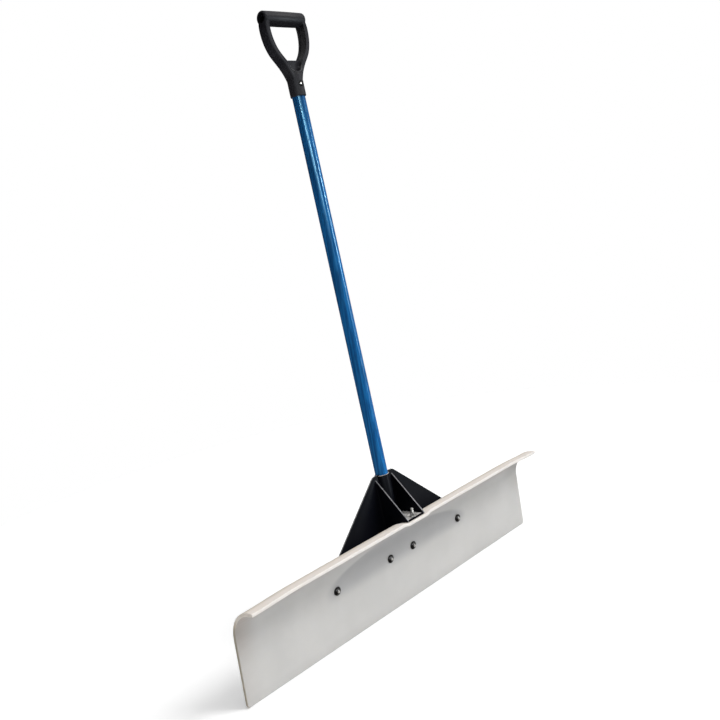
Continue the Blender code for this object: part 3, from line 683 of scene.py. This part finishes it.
# -------------------------------------------------------------------- bracket
PLATE_BOTTOM, PLATE_HALF_WIDE, PLATE_SIDE_TOP = 0.0965, 0.2260, 0.1240
PLATE_HALF_NARROW, PLATE_TOP = 0.0316, 0.2920
RIB_OUTER_X, RIB_TOP_Z, RIB_NOSE_Y, RIB_KNEE = 0.0275, 0.2835, -0.0642, (-0.0617, 0.2070)
FLOOR_SLOPE, FLOOR_REAR_Y, LIP_BOLT_Y = math.radians(4.5), -0.0062, -0.0555
SOCKET_R, SOCKET_BORE, SOCKET_FROM, SOCKET_TO = 0.0162, 0.0146, 0.1720, 0.2905
OUTER = CURL_R + THICK


def curl_point(radius, angle):
    return (-THICK / 2 - CURL_R + radius * math.cos(angle), FLAT + radius * math.sin(angle))


def plate_front(z):
    return PLATE_Y + max(0.0, z - PLATE_BEND) * math.tan(LEAN)


def lip_top(y):
    tip = curl_point(OUTER, CURL_A)
    return tip[1] + (tip[0] - y) / math.tan(CURL_A)


FLOOR_Z = lip_top(RIB_NOSE_Y) + 0.0005
FLOOR_FRAME = at(0, RIB_NOSE_Y, FLOOR_Z, Matrix.Rotation(-FLOOR_SLOPE, 4, 'X'))
BOLT_ALONG = (LIP_BOLT_Y - RIB_NOSE_Y) / math.cos(FLOOR_SLOPE)
LIP_FRAME = FLOOR_FRAME @ Matrix.Translation((0, BOLT_ALONG, 0))


def plate_outline():
    r = 0.014
    slope = math.atan2(PLATE_TOP - PLATE_SIDE_TOP, PLATE_HALF_WIDE - PLATE_HALF_NARROW)
    right = arc(PLATE_HALF_WIDE - r, PLATE_BOTTOM + r, r, -90, 0, 10)
    right += [(PLATE_HALF_WIDE, PLATE_SIDE_TOP - 0.004),
              (PLATE_HALF_WIDE - 0.0005, PLATE_SIDE_TOP - 0.0010),
              (PLATE_HALF_WIDE - 0.0018, PLATE_SIDE_TOP + 0.0016)]
    right += [(PLATE_HALF_NARROW + 0.0060 * math.cos(slope), PLATE_TOP - 0.0060 * math.sin(slope)),
              (PLATE_HALF_NARROW + 0.0022, PLATE_TOP - 0.0024),
              (PLATE_HALF_NARROW - 0.0004, PLATE_TOP - 0.0009),
              (PLATE_HALF_NARROW - 0.0040, PLATE_TOP)]
    slot, bottom = SOCKET_R + 0.0006, SOCKET_FROM * math.cos(LEAN) - 0.003
    right += [(slot, PLATE_TOP), (slot, bottom)]
    return right + [(-x, z) for x, z in reversed(right)]


def make_back_plate():
    bm = prism(plate_outline(), PLATE / 2)
    bmesh.ops.triangulate(bm, faces=[f for f in bm.faces if len(f.verts) > 4])
    for z in (PLATE_BEND - 0.003, PLATE_BEND - 0.001, PLATE_BEND + 0.001, PLATE_BEND + 0.003):
        bmesh.ops.bisect_plane(bm, geom=bm.verts[:] + bm.edges[:] + bm.faces[:],
                               plane_co=(0, z, 0), plane_no=(0, 1, 0))
    for v in bm.verts:
        d = v.co.y - PLATE_BEND
        if d > -0.003:
            lean = d if d > 0.003 else (d + 0.003) ** 2 / 0.012
            v.co.z -= lean * math.tan(LEAN)
    bmesh.ops.dissolve_limit(bm, angle_limit=math.radians(0.5), verts=bm.verts, edges=bm.edges,
                             delimit={'MATERIAL'})
    obj = obj_from("bracket_plate", bm, [STEEL, STEEL_EDGE], at(0, PLATE_Y + PLATE / 2, 0, ALONG_Y))
    boolean(obj, [rod("hole", 0.0036, 0.030, at(x, 0.020, BOLT_Z, POINT_FRONT)) for x in BOLT_X])
    bevel(obj, 0.00045, 2)
    return piece(obj, "steel_black", "bracket_back_plate")


def rib_outline():
    clear = OUTER + 0.0006
    nose = lip_top(RIB_NOSE_Y)
    points = [(plate_front(RIB_TOP_Z) - GAP, RIB_TOP_Z), RIB_KNEE,
              (RIB_NOSE_Y + 0.0011, RIB_KNEE[1] - 0.0012),
              (RIB_NOSE_Y + 0.0003, RIB_KNEE[1] - 0.0030),
              (RIB_NOSE_Y, nose + 0.0035), (RIB_NOSE_Y, nose + 0.0006)]
    steps = 24
    for i in range(steps + 1):
        points.append(curl_point(clear, CURL_A + (math.radians(22) - CURL_A) * i / steps))
    last = points[-1][1]
    points.append((plate_front(last) - GAP, last))
    return points


def make_rib(name, side):
    bm = prism(rib_outline(), PLATE / 2)
    obj = obj_from("bracket_gusset_" + name, bm, [STEEL, STEEL_EDGE],
                   at(side * (RIB_OUTER_X - PLATE / 2), 0, 0, ALONG_X))
    bevel(obj, 0.00045, 2)
    return piece(obj, "steel_black", "bracket_rib_" + name)


def make_floor():
    half = RIB_OUTER_X - PLATE - GAP
    length = (FLOOR_REAR_Y - RIB_NOSE_Y) / math.cos(FLOOR_SLOPE)
    bm = prism([(-half, 0), (half, 0), (half, length), (-half, length)], PLATE / 2)
    obj = obj_from("bracket_floor", bm, [STEEL_FLOOR, STEEL], FLOOR_FRAME @ at(0, 0, PLATE / 2))
    boolean(obj, [rod("hole", 0.0036, 0.020, FLOOR_FRAME @ at(0, BOLT_ALONG, -0.010))])
    bevel(obj, 0.00040, 2)
    return piece(obj, "steel_black", "bracket_floor_plate")


def make_socket():
    r, b = SOCKET_R, SOCKET_BORE
    profile = [(b, SOCKET_FROM + 0.0003), (b + 0.0003, SOCKET_FROM), (r - 0.0004, SOCKET_FROM),
               (r, SOCKET_FROM + 0.0004), (r, SOCKET_TO - 0.0006), (r - 0.0003, SOCKET_TO - 0.0001),
               (r - 0.0006, SOCKET_TO), (b + 0.0004, SOCKET_TO), (b, SOCKET_TO - 0.0003)]
    bm = revolve(profile, 96, close=True)
    for f in bm.faces:
        if f.calc_center_median().z > SOCKET_TO - 0.0005:
            f.material_index = 1
    obj = obj_from("bracket_socket", bm, [STEEL, RIM], HANDLE)
    boolean(obj, [rod("hole", 0.0027, 0.030, HANDLE @ at(0, 0, 0.2350, POINT_BACK), bottom=0.004)])
    return piece(obj, "steel_black", "bracket_socket_tube")


def make_weld(name, path, radius, normals, seed=0):
    """Fillet bead along a path, rippled as the puddle freezes."""
    bm = bmesh.new()
    steps, rings = 10, []
    total = sum((Vector(b) - Vector(a)).length for a, b in zip(path, path[1:]))
    count = max(8, int(total / 0.0007))
    samples = []
    for k in range(count + 1):
        want = total * k / count
        done = 0.0
        for (a, b) in zip(path, path[1:]):
            a, b = Vector(a), Vector(b)
            seg = (b - a).length
            if want <= done + seg + 1e-9:
                samples.append((a.lerp(b, (want - done) / seg), (b - a).normalized(), want))
                break
            done += seg
    u, w = Vector(normals[0]).normalized(), Vector(normals[1]).normalized()
    for k, (p, tangent, along) in enumerate(samples):
        fade = min(1.0, (k + 0.6) / 3, (count - k + 0.6) / 3)
        ripple = 1 + 0.10 * abs(math.sin(along / 0.0030 * math.pi)) \
            + 0.08 * noise.noise(Vector((along * 160, seed, 0)))
        ring = []
        for i in range(steps):
            a = 2 * math.pi * i / steps
            off = u * math.cos(a) + w * math.sin(a)
            ring.append(bm.verts.new(p + off * radius * ripple * math.sqrt(fade)))
        rings.append(ring)
    for a, b in zip(rings, rings[1:]):
        for i in range(steps):
            j = (i + 1) % steps
            bm.faces.new((a[i], a[j], b[j], b[i]))
    bm.faces.new(rings[0][::-1])
    bm.faces.new(rings[-1])
    return piece(obj_from(name, bm, [STEEL], smooth_angle=180), "steel_black")


def make_welds():
    top, low = RIB_TOP_Z - 0.004, 0.176
    for name, side in (("left", -1), ("right", 1)):
        x = side * RIB_OUTER_X
        make_weld("weld_gusset_%s" % name,
                  [(x, plate_front(z) - 0.0004, z) for z in (top, 0.22, low)],
                  0.0017, ((side, 0, 0), (0, -1, 0)), side)
        inner = side * (RIB_OUTER_X - PLATE)
        make_weld("weld_floor_%s" % name,
                  [(inner, y, FLOOR_Z + PLATE + (RIB_NOSE_Y - y) * math.tan(FLOOR_SLOPE) + 0.0002)
                   for y in (RIB_NOSE_Y + 0.006, FLOOR_REAR_Y - 0.006)],
                  0.0013, ((-side, 0, 0), (0, 0, 1)), side + 3)
        sx = side * (SOCKET_R + 0.0004)
        make_weld("weld_socket_front_%s" % name,
                  [(side * 0.0152, plate_front(z) - 0.0002, z) for z in (0.276, 0.22, 0.182)],
                  0.0015, ((side, 0, 0), (0, -1, 0)), side + 6)
        make_weld("weld_socket_back_%s" % name,
                  [(sx, plate_front(z) + PLATE + 0.0002, z) for z in (0.284, 0.22, 0.178)],
                  0.0016, ((side, 0, 0), (0, 1, 0)), side + 9)


# --------------------------------------------------------------------- handle
def make_tube_piece():
    r, b, low, high = 0.0143, 0.0113, 0.1760, 1.1730
    profile = [(b, low + 0.0003), (b + 0.0003, low), (r - 0.0005, low), (r, low + 0.0005)]
    profile += [(r, low + 0.0005 + (high - low - 0.001) * k / 40) for k in range(1, 40)]
    profile += [(r, high - 0.0005), (r - 0.0005, high), (b + 0.0003, high), (b, high - 0.0003)]
    obj = obj_from("handle_tube_shell", revolve(profile, 96, close=True), [TUBE], HANDLE)
    boolean(obj, [rod("hole", 0.0027, 0.030, HANDLE @ at(0, 0, 0.2350, POINT_BACK), bottom=0.004),
                  rod("hole", 0.0029, 0.012, HANDLE @ at(0, 0, 1.1552, POINT_FRONT), bottom=0.006)])
    return piece(obj, "glass_fibre_blue", "handle_tube")


def make_screw():
    head = SOCKET_R + 0.0006
    profile = [(0.0, head + 0.0030), (0.0010, head + 0.0042), (0.0033, head + 0.0042),
               (0.0040, head + 0.0038), (0.0043, head + 0.0030), (0.0043, head + 0.0013),
               (0.0058, head + 0.0010), (0.0062, head + 0.0006), (0.0061, head), (0.0023, head),
               (0.0023, 0.0085), (0.0, 0.0070)]
    profile = [(0.0, head + 0.0042)] + profile[2:]
    obj = obj_from("retaining_screw", revolve(profile, 48), [DARK],
                   HANDLE @ at(0, 0, 0.2350, POINT_BACK))
    cross = []
    for turn in (0, 90):
        bm = prism([(-0.0026, -0.0005), (0.0026, -0.0005), (0.0026, 0.0005), (-0.0026, 0.0005)],
                   0.0012)
        cross.append(obj_from("cross", bm, [DARK], HANDLE @ at(0, 0, 0.2350, POINT_BACK)
                              @ at(0, 0, head + 0.0042) @ Matrix.Rotation(math.radians(turn), 4, 'Z')))
    boolean(obj, cross)
    return piece(obj, "black_zinc", "handle_screw")


# --------------------------------------------------------------------- D-grip
GRIP_FROM, BARREL_R, BARREL_TO, GRIP_BORE_TO = 1.1305, 0.0173, 1.1785, 1.1745
BAR_AT, BAR_R, BAR_HALF, BAR_BORE_R = 1.2986, 0.0158, 0.0575, 0.0110
WEB_TOP, WEB_HALF_T = 1.2094, 0.0028
ARM_PATH = ((0.0085, 1.1660), (0.0138, 1.1800), (0.0205, 1.1925), (0.0288, 1.2050),
            (0.0380, 1.2170), (0.0448, 1.2280), (0.0496, 1.2400), (0.0527, 1.2520),
            (0.0543, 1.2640), (0.0547, 1.2760), (0.0538, 1.2860), (0.0512, 1.2960))


def spline(points, count):
    """Catmull-Rom samples through points."""
    pts = [Vector(p) for p in points]
    pts = [pts[0] * 2 - pts[1]] + pts + [pts[-1] * 2 - pts[-2]]
    out = []
    for k in range(count + 1):
        t = (len(points) - 1) * k / count
        i = min(int(t), len(points) - 2)
        f = t - i
        a, b, c, d = pts[i:i + 4]
        out.append(0.5 * ((2 * b) + (c - a) * f + (2 * a - 5 * b + 4 * c - d) * f * f
                          + (3 * b - a - 3 * c + d) * f ** 3))
    return out


def arm_offset(path, k, w):
    """Point w outwards of the arm's centre line, in the D's plane."""
    a, b = path[max(0, k - 1)], path[min(len(path) - 1, k + 1)]
    tangent = (b - a).normalized()
    return path[k] + Vector((tangent.y, -tangent.x)) * w


def make_arm(side):
    """Arm of near-rectangular section, with a shallow panel sunk in its inner face."""
    path = spline([(x, z) for x, z in ARM_PATH], 90)
    bm = bmesh.new()
    steps, rings = 56, []
    for k in range(len(path)):
        ring = []
        u = k / (len(path) - 1)
        panel = 0.0011 * min(1.0, max(0.0, (u - 0.16) / 0.08)) * min(1.0, max(0.0, (0.93 - u) / 0.06))
        for i in range(steps):
            t = 2 * math.pi * i / steps
            c, s = math.cos(t), math.sin(t)
            d = 0.0134 * math.copysign(abs(c) ** 0.66, c)
            w = 0.0059 * math.copysign(abs(s) ** 0.66, s)
            if s < 0:
                w += panel * min(1.0, max(0.0, (0.0096 - abs(d)) / 0.0016))
            q = arm_offset(path, k, w)
            ring.append(bm.verts.new((side * q.x, d, q.y)))
        rings.append(ring)
    for a, b in zip(rings, rings[1:]):
        for i in range(steps):
            j = (i + 1) % steps
            bm.faces.new((a[i], a[j], b[j], b[i]))
    bm.faces.new(rings[0][::-1])
    bm.faces.new(rings[-1])
    return obj_from("arm", bm, [GRIP])


def make_opening_rim(face):
    """Raised bead round the lower edge of the D's opening, on the front or the back."""
    path = spline([(x, z) for x, z in ARM_PATH], 90)
    inner = [arm_offset(path, k, -0.0050) for k in range(len(path))]
    sides = [p for p in inner if 1.1965 < p.y < 1.2895]
    start = sides[0]
    centre, width, drop = start.y, start.x, 0.0165
    bowl = [Vector((-width * math.cos(math.pi * k / 24), centre - drop * math.sin(math.pi * k / 24)))
            for k in range(1, 24)]
    line = [Vector((-p.x, p.y)) for p in reversed(sides)] + bowl + sides
    bm = bmesh.new()
    steps, rings = 12, []
    for k, p in enumerate(line):
        a, b = line[max(0, k - 1)], line[min(len(line) - 1, k + 1)]
        tangent = (b - a).normalized()
        normal = Vector((tangent.y, -tangent.x))
        low = min(1.0, max(0.0, (p.y - 1.175) / 0.020))
        y = face * (0.0139 - 0.0020 * low)
        ring = []
        for i in range(steps):
            t = 2 * math.pi * i / steps
            q = p + normal * (0.0017 * math.cos(t))
            ring.append(bm.verts.new((q.x, y + 0.0017 * math.sin(t), q.y)))
        rings.append(ring)
    for a, b in zip(rings, rings[1:]):
        for i in range(steps):
            j = (i + 1) % steps
            bm.faces.new((a[i], a[j], b[j], b[i]))
    bm.faces.new(rings[0][::-1])
    bm.faces.new(rings[-1])
    return obj_from("rim", bm, [GRIP])


def make_crotch():
    """Fills the arms' foot up to the bowl of the opening, as deep as the arms."""
    bowl = [(-0.0158 * math.cos(math.pi * k / 24), 1.1960 - 0.0165 * math.sin(math.pi * k / 24))
            for k in range(25)]
    outline = [(-0.0110, 1.1640)] + [(x, z) for x, z in bowl] + [(0.0110, 1.1640)]
    return obj_from("crotch", prism(outline, 0.0128), [GRIP, GRIP], ALONG_Y)


def make_bar():
    fillet = 0.0042
    points = [(0.0, BAR_HALF)] + arc(BAR_R - fillet, BAR_HALF - fillet, fillet, 90, 0, 8)
    for i in range(1, 12):
        t = 1 - i / 6.0
        points.append((BAR_R + 0.0004 * (1 - t * t), t * (BAR_HALF - fillet)))
    points += [(x, -z) for x, z in arc(BAR_R - fillet, BAR_HALF - fillet, fillet, 0, 90, 8)]
    points.append((0.0, -BAR_HALF))
    return obj_from("bar", revolve(points, 96), [GRIP], BAR_MATRIX)


BAR_MATRIX = at(0, 0, BAR_AT, Matrix.Rotation(math.radians(90), 4, 'Y'))


def make_grip_piece():
    barrel = revolve([(0.0, BARREL_TO), (BARREL_R - 0.0018, BARREL_TO),
                      (BARREL_R - 0.0004, BARREL_TO - 0.0006), (BARREL_R, BARREL_TO - 0.0018),
                      (BARREL_R, GRIP_FROM + 0.0014), (BARREL_R - 0.0005, GRIP_FROM + 0.0004),
                      (BARREL_R - 0.0014, GRIP_FROM), (0.0, GRIP_FROM)], 96)
    body = obj_from("grip_body", barrel, [GRIP])
    right = [(0.0100, 1.1700), (0.0150, 1.1860), (0.0230, 1.1990), (0.0295, WEB_TOP - 0.0015),
             (0.0290, WEB_TOP + 0.0015), (0.0235, WEB_TOP + 0.0004), (0.0180, WEB_TOP)]
    web = obj_from("web", prism(right + [(-x, z) for x, z in reversed(right)], WEB_HALF_T),
                   [GRIP, GRIP], ALONG_Y)
    body = join([body, make_arm(-1), make_arm(1), make_bar(), web, make_crotch(),
                 make_opening_rim(-1), make_opening_rim(1)])
    remesh = body.modifiers.new("r", 'REMESH')
    remesh.mode, remesh.voxel_size, remesh.adaptivity = 'VOXEL', 0.00060, 0.0
    smooth = body.modifiers.new("s", 'SMOOTH')
    smooth.factor, smooth.iterations = 0.5, 5
    bake_modifiers(body, 180)
    # the remesh swells the skin by a few hundredths; this keeps it inside the box
    middle = (BARREL_TO + GRIP_FROM) / 2
    body.data.transform(at(0, 0, middle) @ Matrix.Scale(0.9985, 4) @ at(0, 0, -middle))
    boolean(body, [rod("c", 0.0146, 0.080, at(0, 0, GRIP_BORE_TO - 0.080), 72),
                   rod("c", BAR_BORE_R, 0.140, BAR_MATRIX @ at(0, 0, -0.070), 72),
                   rod("c", RIVET_RECESS_R, 0.010, at(0, 0, RIVET_AT, POINT_FRONT), 48, RIVET_SEAT),
                   rod("c", 0.0029, 0.020, at(0, 0, RIVET_AT, POINT_FRONT), 24, 0.005)])
    body.data.transform(HANDLE)
    body.name = "d_grip_moulding"
    body.data.set_sharp_from_angle(angle=math.radians(38))
    return piece(body, "plastic_black", "d_grip")


def make_rivet():
    seat = RIVET_SEAT + GAP
    head = arc(0.0, seat - 0.0023, 0.0048, 90, 34, 10)
    profile = [(max(x, 0.0) if i else 0.0, z) for i, (x, z) in enumerate(head)]
    profile += [(0.0046, seat), (0.0024, seat), (0.0024, 0.0070), (0.0, 0.0062)]
    obj = obj_from("grip_rivet_head", revolve(profile, 48), [RIVET],
                   HANDLE @ at(0, 0, RIVET_AT, POINT_FRONT))
    return piece(obj, "zinc", "grip_rivet")


# ------------------------------------------------------------------ fasteners
def washer_mesh(outer, hole, thickness):
    h, c = thickness / 2, 0.0003
    return revolve([(hole, -h + c), (hole + c, -h), (outer - c, -h), (outer, -h + c),
                    (outer, h - c), (outer - c, h), (hole + c, h), (hole, h - c)], 56, close=True)


def nut(name, matrix, mat, height=0.0056, flats=0.0111):
    body = obj_from(name, prism(circle(flats / math.sqrt(3), 6), height / 2), [mat, mat], matrix)
    r = flats / math.sqrt(3)
    bm = revolve([(0, -height / 2 - 0.0001), (flats / 2 - 0.0001, -height / 2 - 0.0001),
                  (r + 0.0001, -height / 2 + 0.0008), (r + 0.0001, height / 2 - 0.0008),
                  (flats / 2 - 0.0001, height / 2 + 0.0001), (0, height / 2 + 0.0001)], 64)
    limit = obj_from("limit", bm, [mat], matrix)
    boolean(body, [limit], 'INTERSECT')
    boolean(body, [rod("hole", BOLT_R + 0.0003, 0.03, matrix @ at(0, 0, -0.015), 32)])
    return body


def make_face_bolts():
    front = -THICK / 2
    head_y = front - 2 * GAP - 0.0016
    for number, x in enumerate(BOLT_X, 1):
        place = at(x, head_y, BOLT_Z, ALONG_Y)
        turn = Matrix.Rotation(math.radians(17 + 41 * number), 4, 'Z')
        head = arc(0.0, -0.0042, 0.0077, 90, 34, 12)
        profile = [(max(px, 0.0) if i else 0.0, pz) for i, (px, pz) in enumerate(head)]
        profile += [(0.0064, 0.0002), (0.0062, 0.0), (BOLT_R, 0.0), (BOLT_R, -0.0125), (0.0, -0.0125)]
        bolt = obj_from("face_bolt_%d_body" % number, revolve(profile, 64), [BOLT_DARK], place)
        hexes = obj_from("hex", prism(circle(0.0040 / math.sqrt(3), 6), 0.0012),
                         [BOLT_DARK, BOLT_DARK],
                         place @ at(0, 0, 0.0036) @ turn)
        boolean(bolt, [hexes])
        tail = obj_from("tail", thread(BOLT_R, 0.0120, 0.0240, 0.00127, 0.00055), [BOLT_DARK],
                        place @ Matrix.Rotation(math.pi, 4, 'X'))
        bolt = join([bolt, tail])
        piece(bolt, "zinc", "face_bolt_%d" % number)
        for name, y in (("front", front - GAP - 0.0008), ("back", PLATE_Y + PLATE + GAP + 0.0008)):
            rim = 0.0088 if name == "front" else 0.0081
            obj = obj_from("washer_%s_%d" % (name, number), washer_mesh(rim, 0.0036, 0.0016),
                           [DARK], at(x, y, BOLT_Z, ALONG_Y))
            piece(obj, "black_zinc", "face_washer_%s_%d" % (name, number))
        y = PLATE_Y + PLATE + 2 * GAP + 0.0016 + 0.0028
        obj = nut("nut_%d" % number, at(x, y, BOLT_Z, ALONG_Y) @ turn, ZINC)
        piece(obj, "zinc", "face_nut_%d" % number)


def join(objects):
    bm = bmesh.new()
    for obj in objects:
        bm.from_mesh(obj.data)
    first = objects[0]
    bm.to_mesh(first.data)
    bm.free()
    for obj in objects[1:]:
        bpy.data.objects.remove(obj, do_unlink=True)
    first.data.shade_smooth()
    first.data.set_sharp_from_angle(angle=math.radians(35))
    return first


def make_lip_bolt():
    under, top = 0.0080, 0.0215
    profile = [(0.0, 0.004), (BOLT_R, 0.004), (BOLT_R, -under - GAP), (0.0072, -under - GAP)]
    profile += [(0.0071, -under - 0.0009), (0.0068, -under - 0.0014), (0.0056, -under - 0.0026),
                (0.0040, -under - 0.0033), (0.0020, -under - 0.0036), (0.0, -under - 0.0037)]
    head = obj_from("lip_bolt_body", revolve(profile, 48), [ZINC], LIP_FRAME)
    tail = obj_from("tail", thread(BOLT_R, 0.0035, top, 0.00127, 0.00058), [ZINC], LIP_FRAME)
    piece(join([head, tail]), "zinc", "lip_bolt")
    wash = obj_from("lip_washer_ring", washer_mesh(0.0081, 0.0036, 0.0016), [ZINC],
                    LIP_FRAME @ at(0, 0, PLATE + GAP + 0.0008))
    piece(wash, "zinc", "lip_washer")
    body = nut("lip_nut_body", LIP_FRAME @ at(0, 0, PLATE + 2 * GAP + 0.0016 + 0.0028)
               @ Matrix.Rotation(math.radians(12), 4, 'Z'), ZINC)
    piece(body, "zinc", "lip_nut")


make_blade()
make_back_plate()
make_rib("left", -1)
make_rib("right", 1)
make_floor()
make_socket()
make_welds()
make_tube_piece()
make_screw()
make_grip_piece()
make_rivet()
make_face_bolts()
make_lip_bolt()

# ---------------------------------------------------------------------- stage
def make_floor_stage():
    bm = bmesh.new()
    bmesh.ops.create_circle(bm, cap_ends=True, segments=96, radius=1.7)
    n = Nodes("studio_floor")
    grain = n.noise(3.0, 3.0)
    n.set(Base_Color=n.mix(grain, (0.975, 0.980, 0.990), (0.985, 0.990, 1.0)), Roughness=0.95,
          Specular_IOR_Level=0.0, Emission_Color=(1.0, 1.0, 1.0), Emission_Strength=0.10)
    floor = obj_from("studio_floor", bm, [n.mat], at(0.15, 0.0, -0.0002))
    floor.visible_glossy = False


def make_world():
    """White to the camera; to everything else a dim room under a broad ceiling light."""
    world = bpy.data.worlds.new("studio")
    SCENE.world = world
    world.use_nodes = True
    tree = world.node_tree
    tree.nodes.clear()

    def new(kind, **values):
        node = tree.nodes.new(kind)
        for key, value in values.items():
            setattr(node, key, value)
        return node

    def ranged(socket, low, high, to_low, to_high):
        node = new("ShaderNodeMapRange", interpolation_type='SMOOTHSTEP')
        tree.links.new(socket, node.inputs[0])
        for i, v in enumerate((low, high, to_low, to_high), 1):
            node.inputs[i].default_value = v
        return node.outputs[0]

    coord = new("ShaderNodeTexCoord")
    over = new("ShaderNodeVectorMath", operation='DOT_PRODUCT')
    tree.links.new(coord.outputs["Generated"], over.inputs[0])
    over.inputs[1].default_value = Vector((0.30, -0.16, 1.0)).normalized()
    top = ranged(over.outputs["Value"], 0.30, 0.92, WORLD_LOW, WORLD_TOP)
    side = new("ShaderNodeVectorMath", operation='DOT_PRODUCT')
    tree.links.new(coord.outputs["Generated"], side.inputs[0])
    side.inputs[1].default_value = (0.70, -0.70, 0.10)
    wall = ranged(side.outputs["Value"], 0.10, 0.95, 0.0, WORLD_SIDE)
    add = new("ShaderNodeMath", operation='ADD')
    tree.links.new(top, add.inputs[0])
    tree.links.new(wall, add.inputs[1])
    room = new("ShaderNodeBackground")
    room.inputs["Color"].default_value = (1.0, 0.995, 0.985, 1.0)
    tree.links.new(add.outputs[0], room.inputs["Strength"])
    paper = new("ShaderNodeBackground")
    paper.inputs["Color"].default_value = (1, 1, 1, 1)
    path = new("ShaderNodeLightPath")
    mix = new("ShaderNodeMixShader")
    tree.links.new(path.outputs["Is Camera Ray"], mix.inputs[0])
    tree.links.new(room.outputs[0], mix.inputs[1])
    tree.links.new(paper.outputs[0], mix.inputs[2])
    out = new("ShaderNodeOutputWorld")
    tree.links.new(mix.outputs[0], out.inputs[0])


def area(name, place, target, size, power, colour=(1, 1, 1), size_y=None, roll=0.0):
    light = bpy.data.lights.new(name, 'AREA')
    light.energy, light.size, light.color = power, size, colour
    if size_y:
        light.shape, light.size_y = 'RECTANGLE', size_y
    obj = bpy.data.objects.new(name, light)
    turn = (Vector(target) - Vector(place)).to_track_quat('-Z', 'Y').to_matrix().to_4x4()
    obj.matrix_world = Matrix.Translation(place) @ turn @ Matrix.Rotation(roll, 4, 'Z')
    obj.visible_camera = False
    SCENE.collection.objects.link(obj)
    return obj


def strip(name, start, end, target, width, power, colour=(1, 1, 1)):
    """A narrow light between two points, facing a third."""
    start, end, target = Vector(start), Vector(end), Vector(target)
    centre = (start + end) / 2
    along = (end - start).normalized()
    away = (centre - target)
    away = (away - along * away.dot(along)).normalized()
    light = bpy.data.lights.new(name, 'AREA')
    light.shape, light.size, light.size_y = 'RECTANGLE', (end - start).length, width
    light.energy, light.color = power, colour
    obj = bpy.data.objects.new(name, light)
    obj.matrix_world = Matrix.Translation(centre) @ Matrix(
        (along, away.cross(along), away)).transposed().to_4x4()
    obj.visible_camera = obj.visible_diffuse = False
    SCENE.collection.objects.link(obj)
    return obj


def sun(name, direction, strength, angle, colour=(1, 1, 1)):
    light = bpy.data.lights.new(name, 'SUN')
    light.energy, light.angle, light.color = strength, math.radians(angle), colour
    obj = bpy.data.objects.new(name, light)
    obj.rotation_euler = Vector(direction).to_track_quat('Z', 'Y').to_euler()
    SCENE.collection.objects.link(obj)
    return obj


WORLD_LOW, WORLD_TOP, WORLD_SIDE = 0.03, 1.15, 0.0
make_floor_stage()
make_world()
sun("key", (0.50, -0.55, 0.67), 1.60, 26, (1.0, 0.995, 0.985))
strip("strip_left", (-1.85, -1.47, 1.72), (-0.48, -2.35, 1.32), (0, 0, 1.0), 0.05, 46.0, (0.88, 0.96, 1.0))
strip("strip_right", (2.0, -2.0, 1.58), (2.0, -2.0, 0.80), (0, 0, 0.9), 0.09, 44.0, (0.84, 0.94, 1.0))
strip("strip_tail", (2.0, -2.0, 0.78), (2.0, -2.0, 0.00), (0, 0, 0.6), 0.09, 11.0, (0.84, 0.94, 1.0))
SCENE.view_settings.view_transform = 'Standard'
SCENE.view_settings.look = 'None'

# --------------------------------------------------------------------- camera
camera = bpy.data.cameras.new("camera")
camera.sensor_fit, camera.sensor_width = 'HORIZONTAL', 36.0
camera.lens, camera.shift_x, camera.shift_y = 41.891, 0.0, -0.08333
camera.clip_start, camera.clip_end = 0.05, 200.0
camera_obj = bpy.data.objects.new("camera", camera)
right = Vector((0.68999413, -0.70584352, -0.16029043))
down = Vector((-0.18929985, 0.03777042, -0.98119262))
forward = Vector((0.69862269, 0.7073601, -0.1075547))
turn = Matrix((right, -down, -forward)).transposed().to_4x4()
camera_obj.matrix_world = Matrix.Translation((-1.2503103, -1.2670684, 0.8715361)) @ turn
SCENE.collection.objects.link(camera_obj)
SCENE.camera = camera_obj
